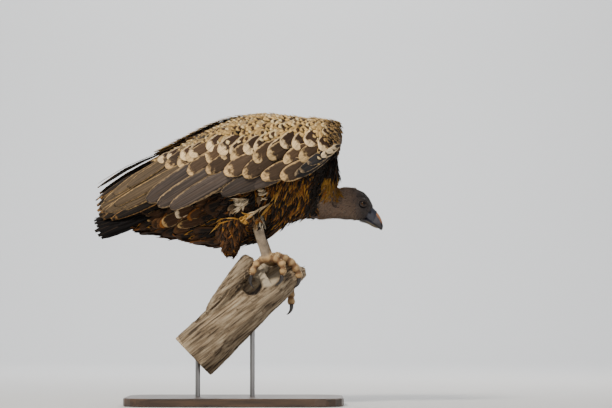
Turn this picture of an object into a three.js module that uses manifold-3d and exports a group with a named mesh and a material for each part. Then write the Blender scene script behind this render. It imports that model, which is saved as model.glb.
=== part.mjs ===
// Life-size museum model of a Rüppell's vulture gripping a cut length of dead branch on a display stand.
// Millimetres, +Z up. The bird faces +X and its right side is towards -Y.
// The origin is the centre of the stand's underside, so the floor is at Z = 0.
import * as THREE from "three";
import { mergeVertices } from "three/addons/utils/BufferGeometryUtils.js";
import Module from "manifold-3d";

const wasm = await Module();
wasm.setup();

// ---------------------------------------------------------------- driving dimensions
const GAP = 0.4; // clearance between pieces that meet

const BASE = { length: 540, depth: 340, thick: 20, corner: 70, bevel: 2 };
const ROD_RADIUS = 6;
const ROD_GRIP = 24; // how far a rod reaches into the branch
const ROD_SOCKET = 12; // how far a rod reaches into the base
const ROD_PLACES = { rear: -92, front: 44 }; // X of each rod

const BRANCH_RADIUS = 62;
const BRANCH_CUT = [-104, 0, 119]; // middle of the sawn lower end
const BRANCH_TIP = [176, 0, 330]; // broken upper end

const BODY_HALF_WIDTH = 106;
const WING_HALF_WIDTH = 150;
const FAR_WING_LIFT = 26; // the left wing's tip is carried this much higher
const FEATHER_THICK = 5;

const HEAD_HALF_WIDTH = 33;
const EYE_RADIUS = 9;
const EYE_PLACE = { x: 319, z: 499 };
const EYE_SUNK = 0.45; // share of its radius that the eye's middle lies inside the skull's surface
const NOSTRIL = { x: 339, y: 12, z: 478, length: 11, width: 4, depth: 4 };

const ANKLE = { x: 54, y: 70, z: 452 };
const TARSUS = { deep: 12.5, wide: 10 }; // half its depth front to back, and half its width
const TOE_RADIUS = 9;
const MIDDLE_TOE_RADIUS = 11;
const TOE_TAPER = 0.28; // share of its radius that a toe loses towards its claw
const PAD_RADIUS = 15;
const CLAW_LENGTH = 30;
const HALLUX_CLAW_LENGTH = 33;
const CLAW_RADII = [4.8, 6.4, 5.2, 3.4, 0.9]; // from inside the toe to the claw's tip

const SIDES = [
  { name: "right", sign: -1, lift: 0 },
  { name: "left", sign: 1, lift: FAR_WING_LIFT },
];

// ---------------------------------------------------------------- solid helpers
const vector = (p) => new THREE.Vector3(...p);

// A closed geometry as a manifold-3d solid, turned right side out if it needs it.
function solid(geometry) {
  const bare = geometry.clone();
  for (const name of ["normal", "uv"]) bare.deleteAttribute(name);
  const merged = mergeVertices(bare, 1e-4);
  const triVerts = new Uint32Array(merged.index.array);
  const build = () => {
    const mesh = new wasm.Mesh({ numProp: 3, vertProperties: merged.attributes.position.array, triVerts });
    return new wasm.Manifold(mesh);
  };
  const made = build();
  if (made.volume() > 0) return made;
  for (let i = 0; i < triVerts.length; i += 3) {
    [triVerts[i + 1], triVerts[i + 2]] = [triVerts[i + 2], triVerts[i + 1]];
  }
  return build();
}

function geometryOf(made) {
  const { vertProperties, triVerts, numProp, numVert } = made.getMesh();
  const places = new Float32Array(numVert * 3);
  for (let i = 0; i < numVert; i++) {
    places.set(vertProperties.subarray(i * numProp, i * numProp + 3), i * 3);
  }
  const geometry = new THREE.BufferGeometry();
  geometry.setAttribute("position", new THREE.BufferAttribute(places, 3));
  geometry.setIndex(new THREE.BufferAttribute(new Uint32Array(triVerts), 1));
  return geometry;
}

// The same solid with every face moved out by the clearance. Each corner moves along the mean of its faces'
// directions, far enough to clear them all.
function swollen(made, by = GAP) {
  const geometry = geometryOf(made);
  const place = geometry.attributes.position;
  const cornerAt = (_, i) => new THREE.Vector3().fromBufferAttribute(place, i);
  const corners = Array.from({ length: place.count }, cornerAt);
  const facing = corners.map(() => []);
  const { array } = geometry.index;
  for (let i = 0; i < array.length; i += 3) {
    const face = [array[i], array[i + 1], array[i + 2]];
    const normal = new THREE.Triangle(...face.map((k) => corners[k])).getNormal(new THREE.Vector3());
    for (const k of face) facing[k].push(normal);
  }
  corners.forEach((corner, i) => {
    const mean = facing[i].reduce((sum, normal) => sum.add(normal), new THREE.Vector3()).normalize();
    const least = Math.min(...facing[i].map((normal) => normal.dot(mean)));
    corner.addScaledVector(mean, by / Math.max(least, 0.3));
    place.setXYZ(i, ...corner);
  });
  return solid(geometry);
}

const largest = (made) => made.decompose().sort((a, b) => b.volume() - a.volume())[0];

// A solid with its neighbours and the clearance round them taken out.
function cutBy(made, ...neighbours) {
  return largest(neighbours.reduce((left, other) => left.subtract(swollen(other)).subtract(other), made));
}

const joined = (pieces) => pieces.reduce((all, piece) => all.add(piece));

// ---------------------------------------------------------------- shape helpers
// One cross-section of a loft: its middle, and how far it reaches up, down and to each side.
const ring = (x, y, z, up, down, side) => ({ at: [x, y, z], up, down, side });
const round = (x, y, z, radius) => ring(x, y, z, radius, radius, radius);

// Triangles between rings of the same number of points, closed by a pole at each end.
function skinOf(rings) {
  const sides = rings[0].length;
  const points = rings.flat();
  const middle = (list) => list.reduce((sum, p) => sum.add(p), new THREE.Vector3()).divideScalar(list.length);
  points.push(middle(rings[0]), middle(rings.at(-1)));
  const [first, last] = [points.length - 2, points.length - 1];
  const index = [];
  for (let k = 0; k < sides; k++) {
    const next = (k + 1) % sides;
    for (let i = 0; i + 1 < rings.length; i++) {
      const [a, b] = [i * sides + k, i * sides + next];
      index.push(a, b, b + sides, a, b + sides, a + sides);
    }
    const end = (rings.length - 1) * sides;
    index.push(first, next, k, last, end + k, end + next);
  }
  const geometry = new THREE.BufferGeometry().setFromPoints(points);
  geometry.setIndex(index);
  return solid(geometry);
}

// A closed body through cross-sections, each square to the smooth line through their middles.
function loft(stations, { sides = 20, steps = 20, upright = [0, 0, 1] } = {}) {
  const middles = new THREE.CatmullRomCurve3(stations.map((s) => vector(s.at)));
  const reaches = new THREE.CatmullRomCurve3(stations.map((s) => vector([s.up, s.down, s.side])));
  const rings = [];
  for (let i = 0; i <= steps; i++) {
    const middle = middles.getPoint(i / steps);
    const reach = reaches.getPoint(i / steps);
    const along = middles.getTangent(i / steps);
    const across = vector(upright).cross(along).normalize();
    const rise = along.clone().cross(across).normalize();
    const points = [];
    for (let k = 0; k < sides; k++) {
      const turn = (2 * Math.PI * k) / sides;
      const height = Math.sin(turn) * (Math.sin(turn) > 0 ? reach.x : reach.y);
      const point = middle.clone().addScaledVector(across, Math.cos(turn) * reach.z);
      points.push(point.addScaledVector(rise, height));
    }
    rings.push(points);
  }
  return skinOf(rings);
}

// A smooth curve through [x, value] pairs, read at any x.
function curveThrough(pairs) {
  const slope = pairs.map((pair, i) => {
    const [before, after] = [pairs[Math.max(i - 1, 0)], pairs[Math.min(i + 1, pairs.length - 1)]];
    return (after[1] - before[1]) / (after[0] - before[0]);
  });
  return (x) => {
    const held = THREE.MathUtils.clamp(x, pairs[0][0], pairs.at(-1)[0]);
    const i = Math.min(pairs.findLastIndex((pair) => pair[0] <= held), pairs.length - 2);
    const span = pairs[i + 1][0] - pairs[i][0];
    const t = (held - pairs[i][0]) / span;
    const ease = t * t * (3 - 2 * t);
    const bend = t * (1 - t) * span;
    const value = pairs[i][1] + (pairs[i + 1][1] - pairs[i][1]) * ease;
    return value + bend * ((1 - t) * slope[i] - t * slope[i + 1]);
  };
}

// ---------------------------------------------------------------- feathered plates
// A closed plate with two faces. at(u, v, face) gives its points: u along it and v across it, from 0 to 1,
// with face 1 outside and -1 inside.
function plate(us, vs, at) {
  const faces = [1, -1].map((face) => us.map((u) => vs.map((v) => at(u, v, face))));
  const points = faces.flat(2);
  const [columns, rows] = [us.length, vs.length];
  const place = (face, i, j) => (face * columns + i) * rows + j;
  const index = [];
  const quad = (a, b, c, d) => index.push(a, b, c, a, c, d);
  for (let i = 0; i + 1 < columns; i++) {
    for (let j = 0; j + 1 < rows; j++) {
      quad(place(0, i, j), place(0, i + 1, j), place(0, i + 1, j + 1), place(0, i, j + 1));
      quad(place(1, i, j), place(1, i, j + 1), place(1, i + 1, j + 1), place(1, i + 1, j));
    }
    quad(place(0, i, 0), place(1, i, 0), place(1, i + 1, 0), place(0, i + 1, 0));
    quad(place(0, i, rows - 1), place(0, i + 1, rows - 1), place(1, i + 1, rows - 1), place(1, i, rows - 1));
  }
  for (let j = 0; j + 1 < rows; j++) {
    quad(place(0, 0, j), place(0, 0, j + 1), place(1, 0, j + 1), place(1, 0, j));
    const end = columns - 1;
    quad(place(0, end, j), place(1, end, j), place(1, end, j + 1), place(0, end, j + 1));
  }
  const geometry = new THREE.BufferGeometry().setFromPoints(points);
  geometry.setIndex(index);
  return solid(geometry);
}

const shares = (count) => Array.from({ length: count + 1 }, (_, i) => i / count);

// Places along a row of feathers: the edge of each vane and the two shoulders of its round tip.
const FEATHER_SHARES = [0, 0.24, 0.76];
const rowShares = (count) => [
  ...Array.from({ length: count }, (_, i) => FEATHER_SHARES.map((share) => (i + share) / count)).flat(),
  1,
];

// How far a row of round tips reaches at u: 1 at the middle of a vane, 0 between two.
function tipReach(u, count) {
  const across = 2 * ((u * count) % 1) - 1;
  return Math.sqrt(Math.max(0, 1 - across ** 2));
}

// A row of overlapping feathers as one plate. Its roots and tips lie along smooth lines in a sheet's two
// directions, and place puts a point of the sheet, and a distance off it, in space.
function featherRow({ count, roots, tips, notch, rows = 2, layer = 0, thick = FEATHER_THICK }, place) {
  const line = (pairs) => new THREE.SplineCurve(pairs.map((pair) => new THREE.Vector2(...pair)));
  const [rootLine, tipLine] = [line(roots), line(tips)];
  return plate(rowShares(count), shares(rows), (u, v, face) => {
    const [root, tip] = [rootLine.getPoint(u), tipLine.getPoint(u)];
    const pulled = (notch * (1 - tipReach(u, count))) / root.distanceTo(tip);
    const point = root.clone().lerp(tip, v * (1 - pulled));
    return vector(place(point.toArray(), layer + (face * thick) / 2));
  });
}

// ---------------------------------------------------------------- the sheet that each folded wing lies on
// Along X, from wing tip to wrist: the height of its upper edge, and its distance out from the middle plane
// at that edge and at its widest.
const wingTop = curveThrough([
  [-346, 508], [-300, 545], [-259, 573], [-190, 607], [-134, 637], [-95, 659], [-30, 692], [60, 716],
  [170, 706], [240, 699], [262, 688], [270, 664],
]);
const wingFoot = curveThrough([[-346, 455], [-180, 470], [20, 500], [150, 560], [236, 605], [270, 632]]);
const wingOut = curveThrough([
  [-346, 40], [-270, 66], [-190, 96], [-110, 122], [-20, 143], [90, WING_HALF_WIDTH], [200, 142], [250, 126],
  [268, 106],
]);
const wingIn = curveThrough([[-346, 6], [-200, 12], [-110, 20], [40, 40], [150, 58], [230, 74], [268, 88]]);
const ROUNDNESS = 2.3; // of the wing's cross-section

// Distance of the wing's outer face from the middle plane, at a place in the side view.
function wingReach(x, z) {
  const height = (z - wingFoot(x)) / (wingTop(x) - wingFoot(x));
  const share = (1 - THREE.MathUtils.clamp(height, 0, 1) ** ROUNDNESS) ** (1 / ROUNDNESS);
  return wingIn(x) + (wingOut(x) - wingIn(x)) * share;
}

const liftAt = (lift, x) => lift * THREE.MathUtils.smoothstep(-x, -180, 120);
const onWing = ({ sign, lift }) => ([x, z], off) => [x, sign * (wingReach(x, z) + off), z + liftAt(lift, x)];

// The arm with its coverts: a curved shell from the wrist back, thick at the arm and thin at the round tips
// of its greater coverts.
const COVERTS = { wrist: 268, back: -200, count: 7, notch: 16 };
const covertEdge = curveThrough([
  [-200, 592], [-150, 580], [-60, 570], [60, 562], [130, 560], [200, 590], [240, 622], [268, 640],
]);

function armShell({ sign, lift }) {
  const { wrist, back, count, notch } = COVERTS;
  const thickness = curveThrough([[back, 8], [-130, 20], [0, 38], [180, 40], [wrist, 12]]);
  return plate(rowShares(count), shares(4), (u, v, face) => {
    const x = wrist + (back - wrist) * u;
    const tipX = x - 8 * (1 - v);
    const foot = covertEdge(x) + notch * (1 - tipReach(u, count)) * Math.min(1, (wrist - x) / 90);
    const [top, out, inner] = [wingTop(tipX), wingReach(tipX, foot), wingIn(tipX)];
    const full = thickness(x) * Math.sin(Math.PI * (0.15 + 0.8 * v));
    const inset = face > 0 ? 0 : Math.min(full, (out - inner) * 0.7);
    const turn = (Math.PI / 2) * v;
    const y = inner + (out - inset - inner) * Math.sin(turn) ** (2 / ROUNDNESS);
    const z = foot + (top - inset - foot) * Math.cos(turn) ** (2 / ROUNDNESS);
    return new THREE.Vector3(tipX, sign * y, z + liftAt(lift, x));
  });
}

const SECONDARIES = {
  count: 9, notch: 22, layer: -8,
  roots: [[205, 604], [100, 604], [-60, 612], [-150, 610]],
  tips: [[104, 556], [-10, 514], [-150, 485], [-214, 494]],
};
const PRIMARIES = {
  count: 5, notch: 34, layer: -17,
  roots: [[-140, 620], [-140, 580], [-138, 540]],
  tips: [[-346, 514], [-343, 492], [-334, 462]],
};
const ALULA = {
  count: 3, notch: 14, rows: 2, layer: 3, thick: 6,
  roots: [[250, 636], [232, 600]],
  tips: [[176, 602], [150, 558]],
};

// ---------------------------------------------------------------- tail
const TAIL = {
  root: -150, rootHeight: 508, rootWidth: 90,
  tip: -352, tipHeight: 462, halfWidth: 74, arch: 50,
};
const TAIL_ROW = {
  count: 12, notch: 12, rows: 1,
  roots: [[TAIL.root, -TAIL.rootWidth / 2], [TAIL.root, TAIL.rootWidth / 2]],
  tips: [[TAIL.tip + 16, -TAIL.halfWidth], [TAIL.tip, -28], [TAIL.tip, 28], [TAIL.tip + 16, TAIL.halfWidth]],
};
const onTail = ([x, y], off) => {
  const share = (TAIL.root - x) / (TAIL.root - TAIL.tip);
  const ridge = THREE.MathUtils.lerp(TAIL.rootHeight, TAIL.tipHeight, share);
  return [x, y, ridge - TAIL.arch * (y / TAIL.halfWidth) ** 2 + off];
};

// ---------------------------------------------------------------- body
const trunk = () =>
  loft(
    [
      ring(262, 0, 596, 24, 24, 26),
      ring(250, 0, 596, 70, 66, 66),
      ring(210, 0, 580, 112, 116, 88),
      ring(155, 0, 580, 124, 122, 100),
      ring(90, 0, 576, 136, 150, BODY_HALF_WIDTH),
      ring(20, 0, 560, 150, 166, BODY_HALF_WIDTH),
      ring(-50, 0, 538, 148, 156, 98),
      ring(-108, 0, 520, 128, 138, 86),
      ring(-165, 0, 500, 100, 98, 68),
      ring(-215, 0, 480, 70, 68, 54),
      ring(-266, 0, 454, 18, 22, 34),
    ],
    { sides: 16, steps: 12 },
  );

const neck = () =>
  loft([ring(150, 0, 520, 44, 48, 44), ring(205, 0, 506, 42, 47, 42), ring(250, 0, 500, 37, 38, 36),
    ring(284, 0, 501, 34, 36, 33)], { sides: 14, steps: 5 });

// The ruff of long feathers that hangs behind and beside the foot of the neck.
const ruff = () =>
  loft([ring(190, 0, 530, 70, 60, 84), ring(228, 0, 534, 66, 62, 80), ring(246, 0, 540, 52, 60, 64),
    ring(256, 0, 536, 28, 34, 40)], { sides: 14, steps: 4 });

const head = () =>
  loft(
    [
      ring(256, 0, 501, 36, 37, 32),
      ring(281, 0, 502, 41, 42, HEAD_HALF_WIDTH),
      ring(300, 0, 496, 42, 39, 31),
      ring(316, 0, 485, 36, 31, 25),
      ring(327, 0, 476, 29, 26, 19.5),
      ring(332, 0, 472, 26, 24, 17),
    ],
    { sides: 14, steps: 7 },
  );

// The brow stands out over the eye.
const brow = (sign) =>
  loft([ring(300, sign * 24, 513, 3, 4, 4), ring(314, sign * 26, 511, 5, 5, 6),
    ring(328, sign * 21, 504, 4, 4, 5), ring(338, sign * 15, 497, 2, 2, 3)], { sides: 5, steps: 3 });

const upperBill = () =>
  loft(
    [
      ring(331, 0, 476, 21, 14, 15),
      ring(341, 0, 469, 19, 16, 13.5),
      ring(352, 0, 460, 15, 15, 10.5),
      ring(361, 0, 449, 10, 12, 7),
      ring(366, 0, 439, 4.5, 5, 3.6),
      ring(366, 0, 431, 1.2, 1.2, 1.2),
    ],
    { sides: 10, steps: 7 },
  );

const lowerBill = () =>
  loft([ring(312, 0, 460, 7, 6, 14), ring(334, 0, 454, 6, 5, 11), ring(349, 0, 446, 5, 5, 8),
    ring(358, 0, 441, 2.5, 2.5, 4)], { sides: 8, steps: 4 });

function nostril(sign) {
  const { x, y, z, length, width, depth } = NOSTRIL;
  const slit = new THREE.SphereGeometry(1, 7, 5);
  return solid(slit.scale(width / 2, depth, length / 2).rotateY(0.5).translate(x, sign * y, z));
}

// How far a solid reaches from a point along a direction that leaves it.
function reachOf(made, from, way) {
  const ray = new THREE.Raycaster(vector(from), vector(way));
  const skin = new THREE.MeshBasicMaterial({ side: THREE.DoubleSide });
  return ray.intersectObject(new THREE.Mesh(geometryOf(made), skin)).at(-1).distance;
}

// The eye sits so deep in the head that only the front of its ball shows.
function eye(sign, skull) {
  const { x, z } = EYE_PLACE;
  const y = reachOf(skull, [x, 0, z], [0, sign, 0]) - EYE_RADIUS * EYE_SUNK;
  return solid(new THREE.SphereGeometry(EYE_RADIUS, 9, 6).translate(x, sign * y, z));
}

// The feathered thigh, with the loose trouser feathers that hang behind the ankle.
function thigh({ sign }) {
  const meat = loft(
    [ring(16, sign * 72, 560, 40, 46, 44), ring(24, sign * 76, 512, 48, 56, 40),
      ring(36, sign * 74, 474, 32, 40, 28), ring(50, sign * ANKLE.y, 446, 15, 17, 15)],
    { sides: 10, steps: 5, upright: [1, 0, 0] },
  );
  const trousers = loft(
    [ring(0, sign * 62, 500, 40, 44, 34), ring(-6, sign * 58, 445, 40, 42, 32),
      ring(-10, sign * 54, 402, 31, 32, 25), ring(-12, sign * 52, 366, 14, 15, 13)],
    { sides: 10, steps: 4, upright: [1, 0, 0] },
  );
  return meat.add(trousers);
}

// ---------------------------------------------------------------- legs and feet
// Each foot: where the tarsus ends, and the line of each toe from there to the root of its claw.
const FEET = {
  right: {
    ball: [80, -44, 364],
    toes: {
      hallux: [[70, -44, 360], [54, -47, 348], [46, -50, 330], [42, -50, 318]],
      outer: [[86, -50, 362], [112, -58, 358], [122, -60, 338], [118, -58, 318]],
      middle: [[88, -44, 366], [118, -42, 366], [142, -38, 352], [158, -34, 330], [160, -32, 314]],
      inner: [[86, -36, 364], [106, -24, 367], [126, -15, 361], [140, -9, 351]],
    },
  },
  left: {
    ball: [90, 48, 350],
    toes: {
      hallux: [[80, 46, 346], [62, 46, 336], [50, 52, 318], [46, 54, 304]],
      outer: [[94, 54, 348], [112, 62, 338], [118, 62, 314], [112, 56, 294]],
      middle: [[98, 50, 348], [122, 58, 338], [138, 60, 308], [139, 54, 274], [141, 47, 248]],
      inner: [[96, 40, 356], [112, 28, 364], [130, 19, 360], [144, 12, 350]],
    },
  },
};
// How each claw leaves its toe: the way it points at its root and at its tip.
const CLAW_TURN = {
  hallux: [[-0.3, 0, -1], [0.7, 0, -0.7]],
  outer: [[-0.2, 0, -1], [-0.9, 0, -0.5]],
  middle: [[0, 0.1, -1], [-0.8, 0, -0.6]],
  inner: [[0.8, 0.1, -0.6], [0.3, 0.1, -1]],
};

function tarsus({ name, sign }) {
  const { ball } = FEET[name];
  const { deep, wide } = TARSUS;
  const ankle = vector([ANKLE.x, sign * ANKLE.y, ANKLE.z]);
  const way = (share) => ankle.clone().lerp(vector(ball), share).toArray();
  return loft(
    [ring(...way(-0.12), deep, deep, wide), ring(...way(0.08), deep + 4, deep + 3, wide + 3),
      ring(...way(0.35), deep + 1, deep + 1, wide + 1), ring(...way(0.65), deep, deep, wide),
      ring(...way(0.95), deep, deep, wide + 2)],
    { sides: 9, steps: 6, upright: [1, 0, 0] },
  );
}

// A toe thins towards its claw.
function toe(line, thick) {
  const curve = new THREE.CatmullRomCurve3(line.map(vector));
  const joints = line.length;
  const stations = Array.from({ length: joints + 1 }, (_, i) => {
    const share = i / joints;
    return round(...curve.getPoint(share).toArray(), thick * (1 - TOE_TAPER * share));
  });
  return loft(stations, { sides: 6, steps: joints, upright: [0, 1, 0] });
}

// A hook in three straight runs, each turned further from the toe.
function claw(name, line, size) {
  const root = vector(line.at(-1));
  const [start, end] = CLAW_TURN[name].map((way) => vector(way).normalize());
  const middle = start.clone().add(end).normalize();
  const places = [root.clone().addScaledVector(start, -size / 8), root];
  for (const way of [start, middle, end]) places.push(places.at(-1).clone().addScaledVector(way, size / 3));
  const stations = places.map((place, i) => round(...place.toArray(), CLAW_RADII[i]));
  return loft(stations, { sides: 6, steps: 4, upright: [0, 1, 0] });
}

function foot({ name }) {
  const { ball, toes } = FEET[name];
  const pad = new THREE.SphereGeometry(PAD_RADIUS, 7, 5).scale(1, 0.95, 0.8).translate(...ball);
  const made = Object.entries(toes).map(([kind, line]) => {
    return toe(line, kind === "middle" ? MIDDLE_TOE_RADIUS : TOE_RADIUS);
  });
  return joined([solid(pad), ...made]);
}

// ---------------------------------------------------------------- perch
// The outline of the branch wanders, as dead wood does.
function knotted(made, amount) {
  const geometry = geometryOf(made);
  const place = geometry.attributes.position;
  for (let i = 0; i < place.count; i++) {
    const [x, y, z] = [place.getX(i), place.getY(i), place.getZ(i)];
    const wave = Math.sin(x * 0.05 + y * 0.06) * Math.cos(z * 0.045 - y * 0.07) * amount;
    place.setXYZ(i, x - wave * 0.5, y + wave, z + wave * 0.5);
  }
  return solid(geometry);
}

function branch() {
  const [cutX, , cutZ] = BRANCH_CUT;
  const [tipX, , tipZ] = BRANCH_TIP;
  const limb = loft(
    [
      ring(cutX, 0, cutZ, BRANCH_RADIUS + 2, BRANCH_RADIUS + 2, BRANCH_RADIUS + 2),
      ring(-52, 2, 170, BRANCH_RADIUS, BRANCH_RADIUS + 1, BRANCH_RADIUS),
      ring(2, 3, 220, BRANCH_RADIUS - 2, BRANCH_RADIUS - 2, BRANCH_RADIUS - 2),
      ring(60, 2, 270, 58, 54, 56),
      ring(112, 0, 306, 46, 46, 50),
      ring(146, -4, 322, 28, 32, 36),
      ring(tipX, 0, tipZ, 12, 10, 12),
    ],
    { sides: 14, steps: 8 },
  );
  // A hollow where the heartwood has rotted out between the limb and its side shoot, and a flat face where
  // the upper end split off.
  const rot = new THREE.SphereGeometry(1, 9, 7).scale(36, 20, 20).rotateY(-0.75).translate(44, -52, 294);
  const split = new THREE.BoxGeometry(110, 60, 120).rotateX(0.85).rotateY(-0.62).translate(108, -62, 372);
  return knotted(limb, 3).subtract(solid(rot)).subtract(solid(split));
}

const sideShoot = () =>
  loft([round(-62, -26, 222, 14), round(-34, -34, 262, 22), round(0, -38, 312, 20), round(28, -38, 352, 18),
    round(36, -38, 364, 16), round(38, -38, 368, 9)], { sides: 10, steps: 7 });

// ---------------------------------------------------------------- stand
function standBase() {
  const { length, depth, thick, corner, bevel } = BASE;
  const [l, d] = [length / 2 - bevel, depth / 2 - bevel];
  const outline = new THREE.Shape();
  outline.moveTo(-l + corner, -d);
  outline.lineTo(l - corner, -d).absarc(l - corner, -d + corner, corner, -Math.PI / 2, 0);
  outline.lineTo(l, d - corner).absarc(l - corner, d - corner, corner, 0, Math.PI / 2);
  outline.lineTo(-l + corner, d).absarc(-l + corner, d - corner, corner, Math.PI / 2, Math.PI);
  outline.lineTo(-l, -d + corner).absarc(-l + corner, -d + corner, corner, Math.PI, 1.5 * Math.PI);
  const slab = new THREE.ExtrudeGeometry(outline, {
    depth: thick - 2 * bevel, bevelSize: bevel, bevelThickness: bevel, bevelSegments: 1, curveSegments: 2,
  });
  return solid(slab.translate(0, 0, bevel));
}

// Height of the lowest point of a solid straight above a place on the floor.
function undersideOf(made, x) {
  const ray = new THREE.Raycaster(new THREE.Vector3(x, 0, 0), new THREE.Vector3(0, 0, 1));
  return ray.intersectObject(new THREE.Mesh(geometryOf(made)))[0].distance;
}

function rod(x, perch) {
  const [low, high] = [BASE.thick - ROD_SOCKET, undersideOf(perch, x) + ROD_GRIP];
  const bar = new THREE.CylinderGeometry(ROD_RADIUS, ROD_RADIUS, high - low, 12);
  return solid(bar.rotateX(Math.PI / 2).translate(x, 0, (high + low) / 2));
}

// ---------------------------------------------------------------- fitting the pieces to each other
const pieces = {};

const rawTrunk = trunk();
const rawNeck = neck();
const skull = head();
const limb = branch();
const eyes = SIDES.map(({ sign }) => eye(sign, skull));
pieces.bill_upper = SIDES.reduce((bill, { sign }) => bill.subtract(nostril(sign)), upperBill());
pieces.bill_lower = cutBy(lowerBill(), pieces.bill_upper);
const browed = joined([skull, ...SIDES.map(({ sign }) => brow(sign))]);
pieces.head = cutBy(browed, pieces.bill_upper, pieces.bill_lower, ...eyes, rawTrunk);
pieces.neck = cutBy(rawNeck, browed);
pieces.ruff = cutBy(ruff(), rawNeck, browed);
pieces.trunk = cutBy(rawTrunk, rawNeck, ruff());
pieces.tail = cutBy(featherRow(TAIL_ROW, onTail), rawTrunk);
SIDES.forEach((side, i) => {
  const { name } = side;
  pieces[`eye_${name}`] = eyes[i];
  const coverts = cutBy(armShell(side), rawTrunk);
  const place = onWing(side);
  const secondaries = cutBy(featherRow(SECONDARIES, place), rawTrunk, coverts);
  const arm = [rawTrunk, coverts, secondaries];
  pieces[`wing_${name}_coverts`] = coverts;
  pieces[`wing_${name}_secondaries`] = secondaries;
  pieces[`wing_${name}_primaries`] = cutBy(featherRow(PRIMARIES, place), ...arm, pieces.tail);
  pieces[`wing_${name}_alula`] = cutBy(featherRow(ALULA, place), ...arm);
  pieces[`thigh_${name}`] = cutBy(thigh(side), ...arm);
  pieces[`tarsus_${name}`] = cutBy(tarsus(side), rawTrunk, pieces[`thigh_${name}`]);
  const claws = Object.entries(FEET[name].toes).map(([kind, line]) => [
    `claw_${name}_${kind}`, claw(kind, line, kind === "hallux" ? HALLUX_CLAW_LENGTH : CLAW_LENGTH),
  ]);
  const besideFoot = [limb, pieces[`tarsus_${name}`], ...claws.map(([, made]) => made)];
  pieces[`foot_${name}`] = cutBy(foot(side), ...besideFoot);
  for (const [claw, made] of claws) pieces[claw] = cutBy(made, limb);
});
pieces.perch_shoot = cutBy(sideShoot(), pieces.foot_right, pieces.claw_right_hallux);
const wholeBranch = cutBy(limb, pieces.perch_shoot);
const rods = Object.entries(ROD_PLACES).map(([place, x]) => [`stand_rod_${place}`, rod(x, wholeBranch)]);
pieces.perch_branch = cutBy(wholeBranch, ...rods.map(([, made]) => made));
pieces.stand_base = cutBy(standBase(), ...rods.map(([, made]) => made));
Object.assign(pieces, Object.fromEntries(rods));

// ---------------------------------------------------------------- colours and the scene graph
const FINISHES = [
  [/^stand_base/, { color: 0x2a211b, roughness: 0.45 }],
  [/^stand_rod/, { color: 0xb8bcc0, roughness: 0.3, metalness: 1 }],
  [/^perch/, { color: 0x8f7d63, roughness: 0.9 }],
  [/^bill|^claw/, { color: 0x2b2c31, roughness: 0.4 }],
  [/^eye/, { color: 0x3a2413, roughness: 0.1 }],
  [/^head|^neck/, { color: 0x6b5847, roughness: 0.85 }],
  [/^ruff/, { color: 0x8a5d24, roughness: 0.9 }],
  [/coverts$/, { color: 0xd3b98a, roughness: 0.85 }],
  [/secondaries$|primaries$|alula$/, { color: 0x54483d, roughness: 0.8 }],
  [/^tail/, { color: 0x2a241f, roughness: 0.8 }],
  [/^tarsus|^foot/, { color: 0xb39a73, roughness: 0.8 }],
  [/./, { color: 0x5a3f22, roughness: 0.9 }],
];

const model = new THREE.Group();
for (const [name, made] of Object.entries(pieces)) {
  const finish = FINISHES.find(([pattern]) => pattern.test(name))[1];
  const mesh = new THREE.Mesh(geometryOf(made), new THREE.MeshStandardMaterial(finish));
  mesh.name = name;
  model.add(mesh);
}

export default model;
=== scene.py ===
"""A Rüppell's vulture, life size, leaning forward on a cut branch over a plain display stand."""

import math

import bpy
import numpy as np
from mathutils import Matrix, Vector, noise
from mathutils.bvhtree import BVHTree
from mathutils.kdtree import KDTree


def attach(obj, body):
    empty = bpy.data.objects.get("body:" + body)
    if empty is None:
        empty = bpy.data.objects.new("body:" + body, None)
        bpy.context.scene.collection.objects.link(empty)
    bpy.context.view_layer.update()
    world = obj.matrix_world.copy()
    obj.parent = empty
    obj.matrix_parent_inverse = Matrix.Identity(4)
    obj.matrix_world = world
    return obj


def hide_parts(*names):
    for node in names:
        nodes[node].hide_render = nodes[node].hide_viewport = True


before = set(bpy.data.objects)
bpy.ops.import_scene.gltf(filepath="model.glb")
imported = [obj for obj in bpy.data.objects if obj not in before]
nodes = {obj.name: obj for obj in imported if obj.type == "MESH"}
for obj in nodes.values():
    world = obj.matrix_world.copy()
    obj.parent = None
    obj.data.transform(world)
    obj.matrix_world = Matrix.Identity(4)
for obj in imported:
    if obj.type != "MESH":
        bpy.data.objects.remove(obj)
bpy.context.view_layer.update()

MM = 0.001
rng = np.random.default_rng(1871)
SIDES = {"right": -1.0, "left": 1.0}


# ---------------------------------------------------------------- camera, lights and floor
PICTURE_WIDTH = 612
PIXEL = 2.5 * MM  # at the bird's middle plane
CAMERA_DISTANCE = 5.6
CAMERA_HEIGHT = 0.2
VIEW_CENTRE = Vector((0.1775, 0.0, 0.5))


def set_camera():
    data = bpy.data.cameras.new("camera")
    camera = bpy.data.objects.new("camera", data)
    bpy.context.scene.collection.objects.link(camera)
    camera.location = (VIEW_CENTRE.x, -CAMERA_DISTANCE, CAMERA_HEIGHT)
    gaze = VIEW_CENTRE - camera.location
    camera.rotation_euler = gaze.to_track_quat("-Z", "Y").to_euler()
    data.sensor_width = 36.0
    data.lens = data.sensor_width * gaze.length / (PICTURE_WIDTH * PIXEL)
    data.clip_end = 60.0
    bpy.context.scene.camera = camera


def area_light(name, place, target, size, power, colour):
    data = bpy.data.lights.new(name, "AREA")
    data.shape, data.size, data.energy, data.color = "DISK", size, power, colour
    light = bpy.data.objects.new(name, data)
    light.location = place
    light.rotation_euler = (Vector(target) - Vector(place)).to_track_quat("-Z", "Y").to_euler()
    bpy.context.scene.collection.objects.link(light)


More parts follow.
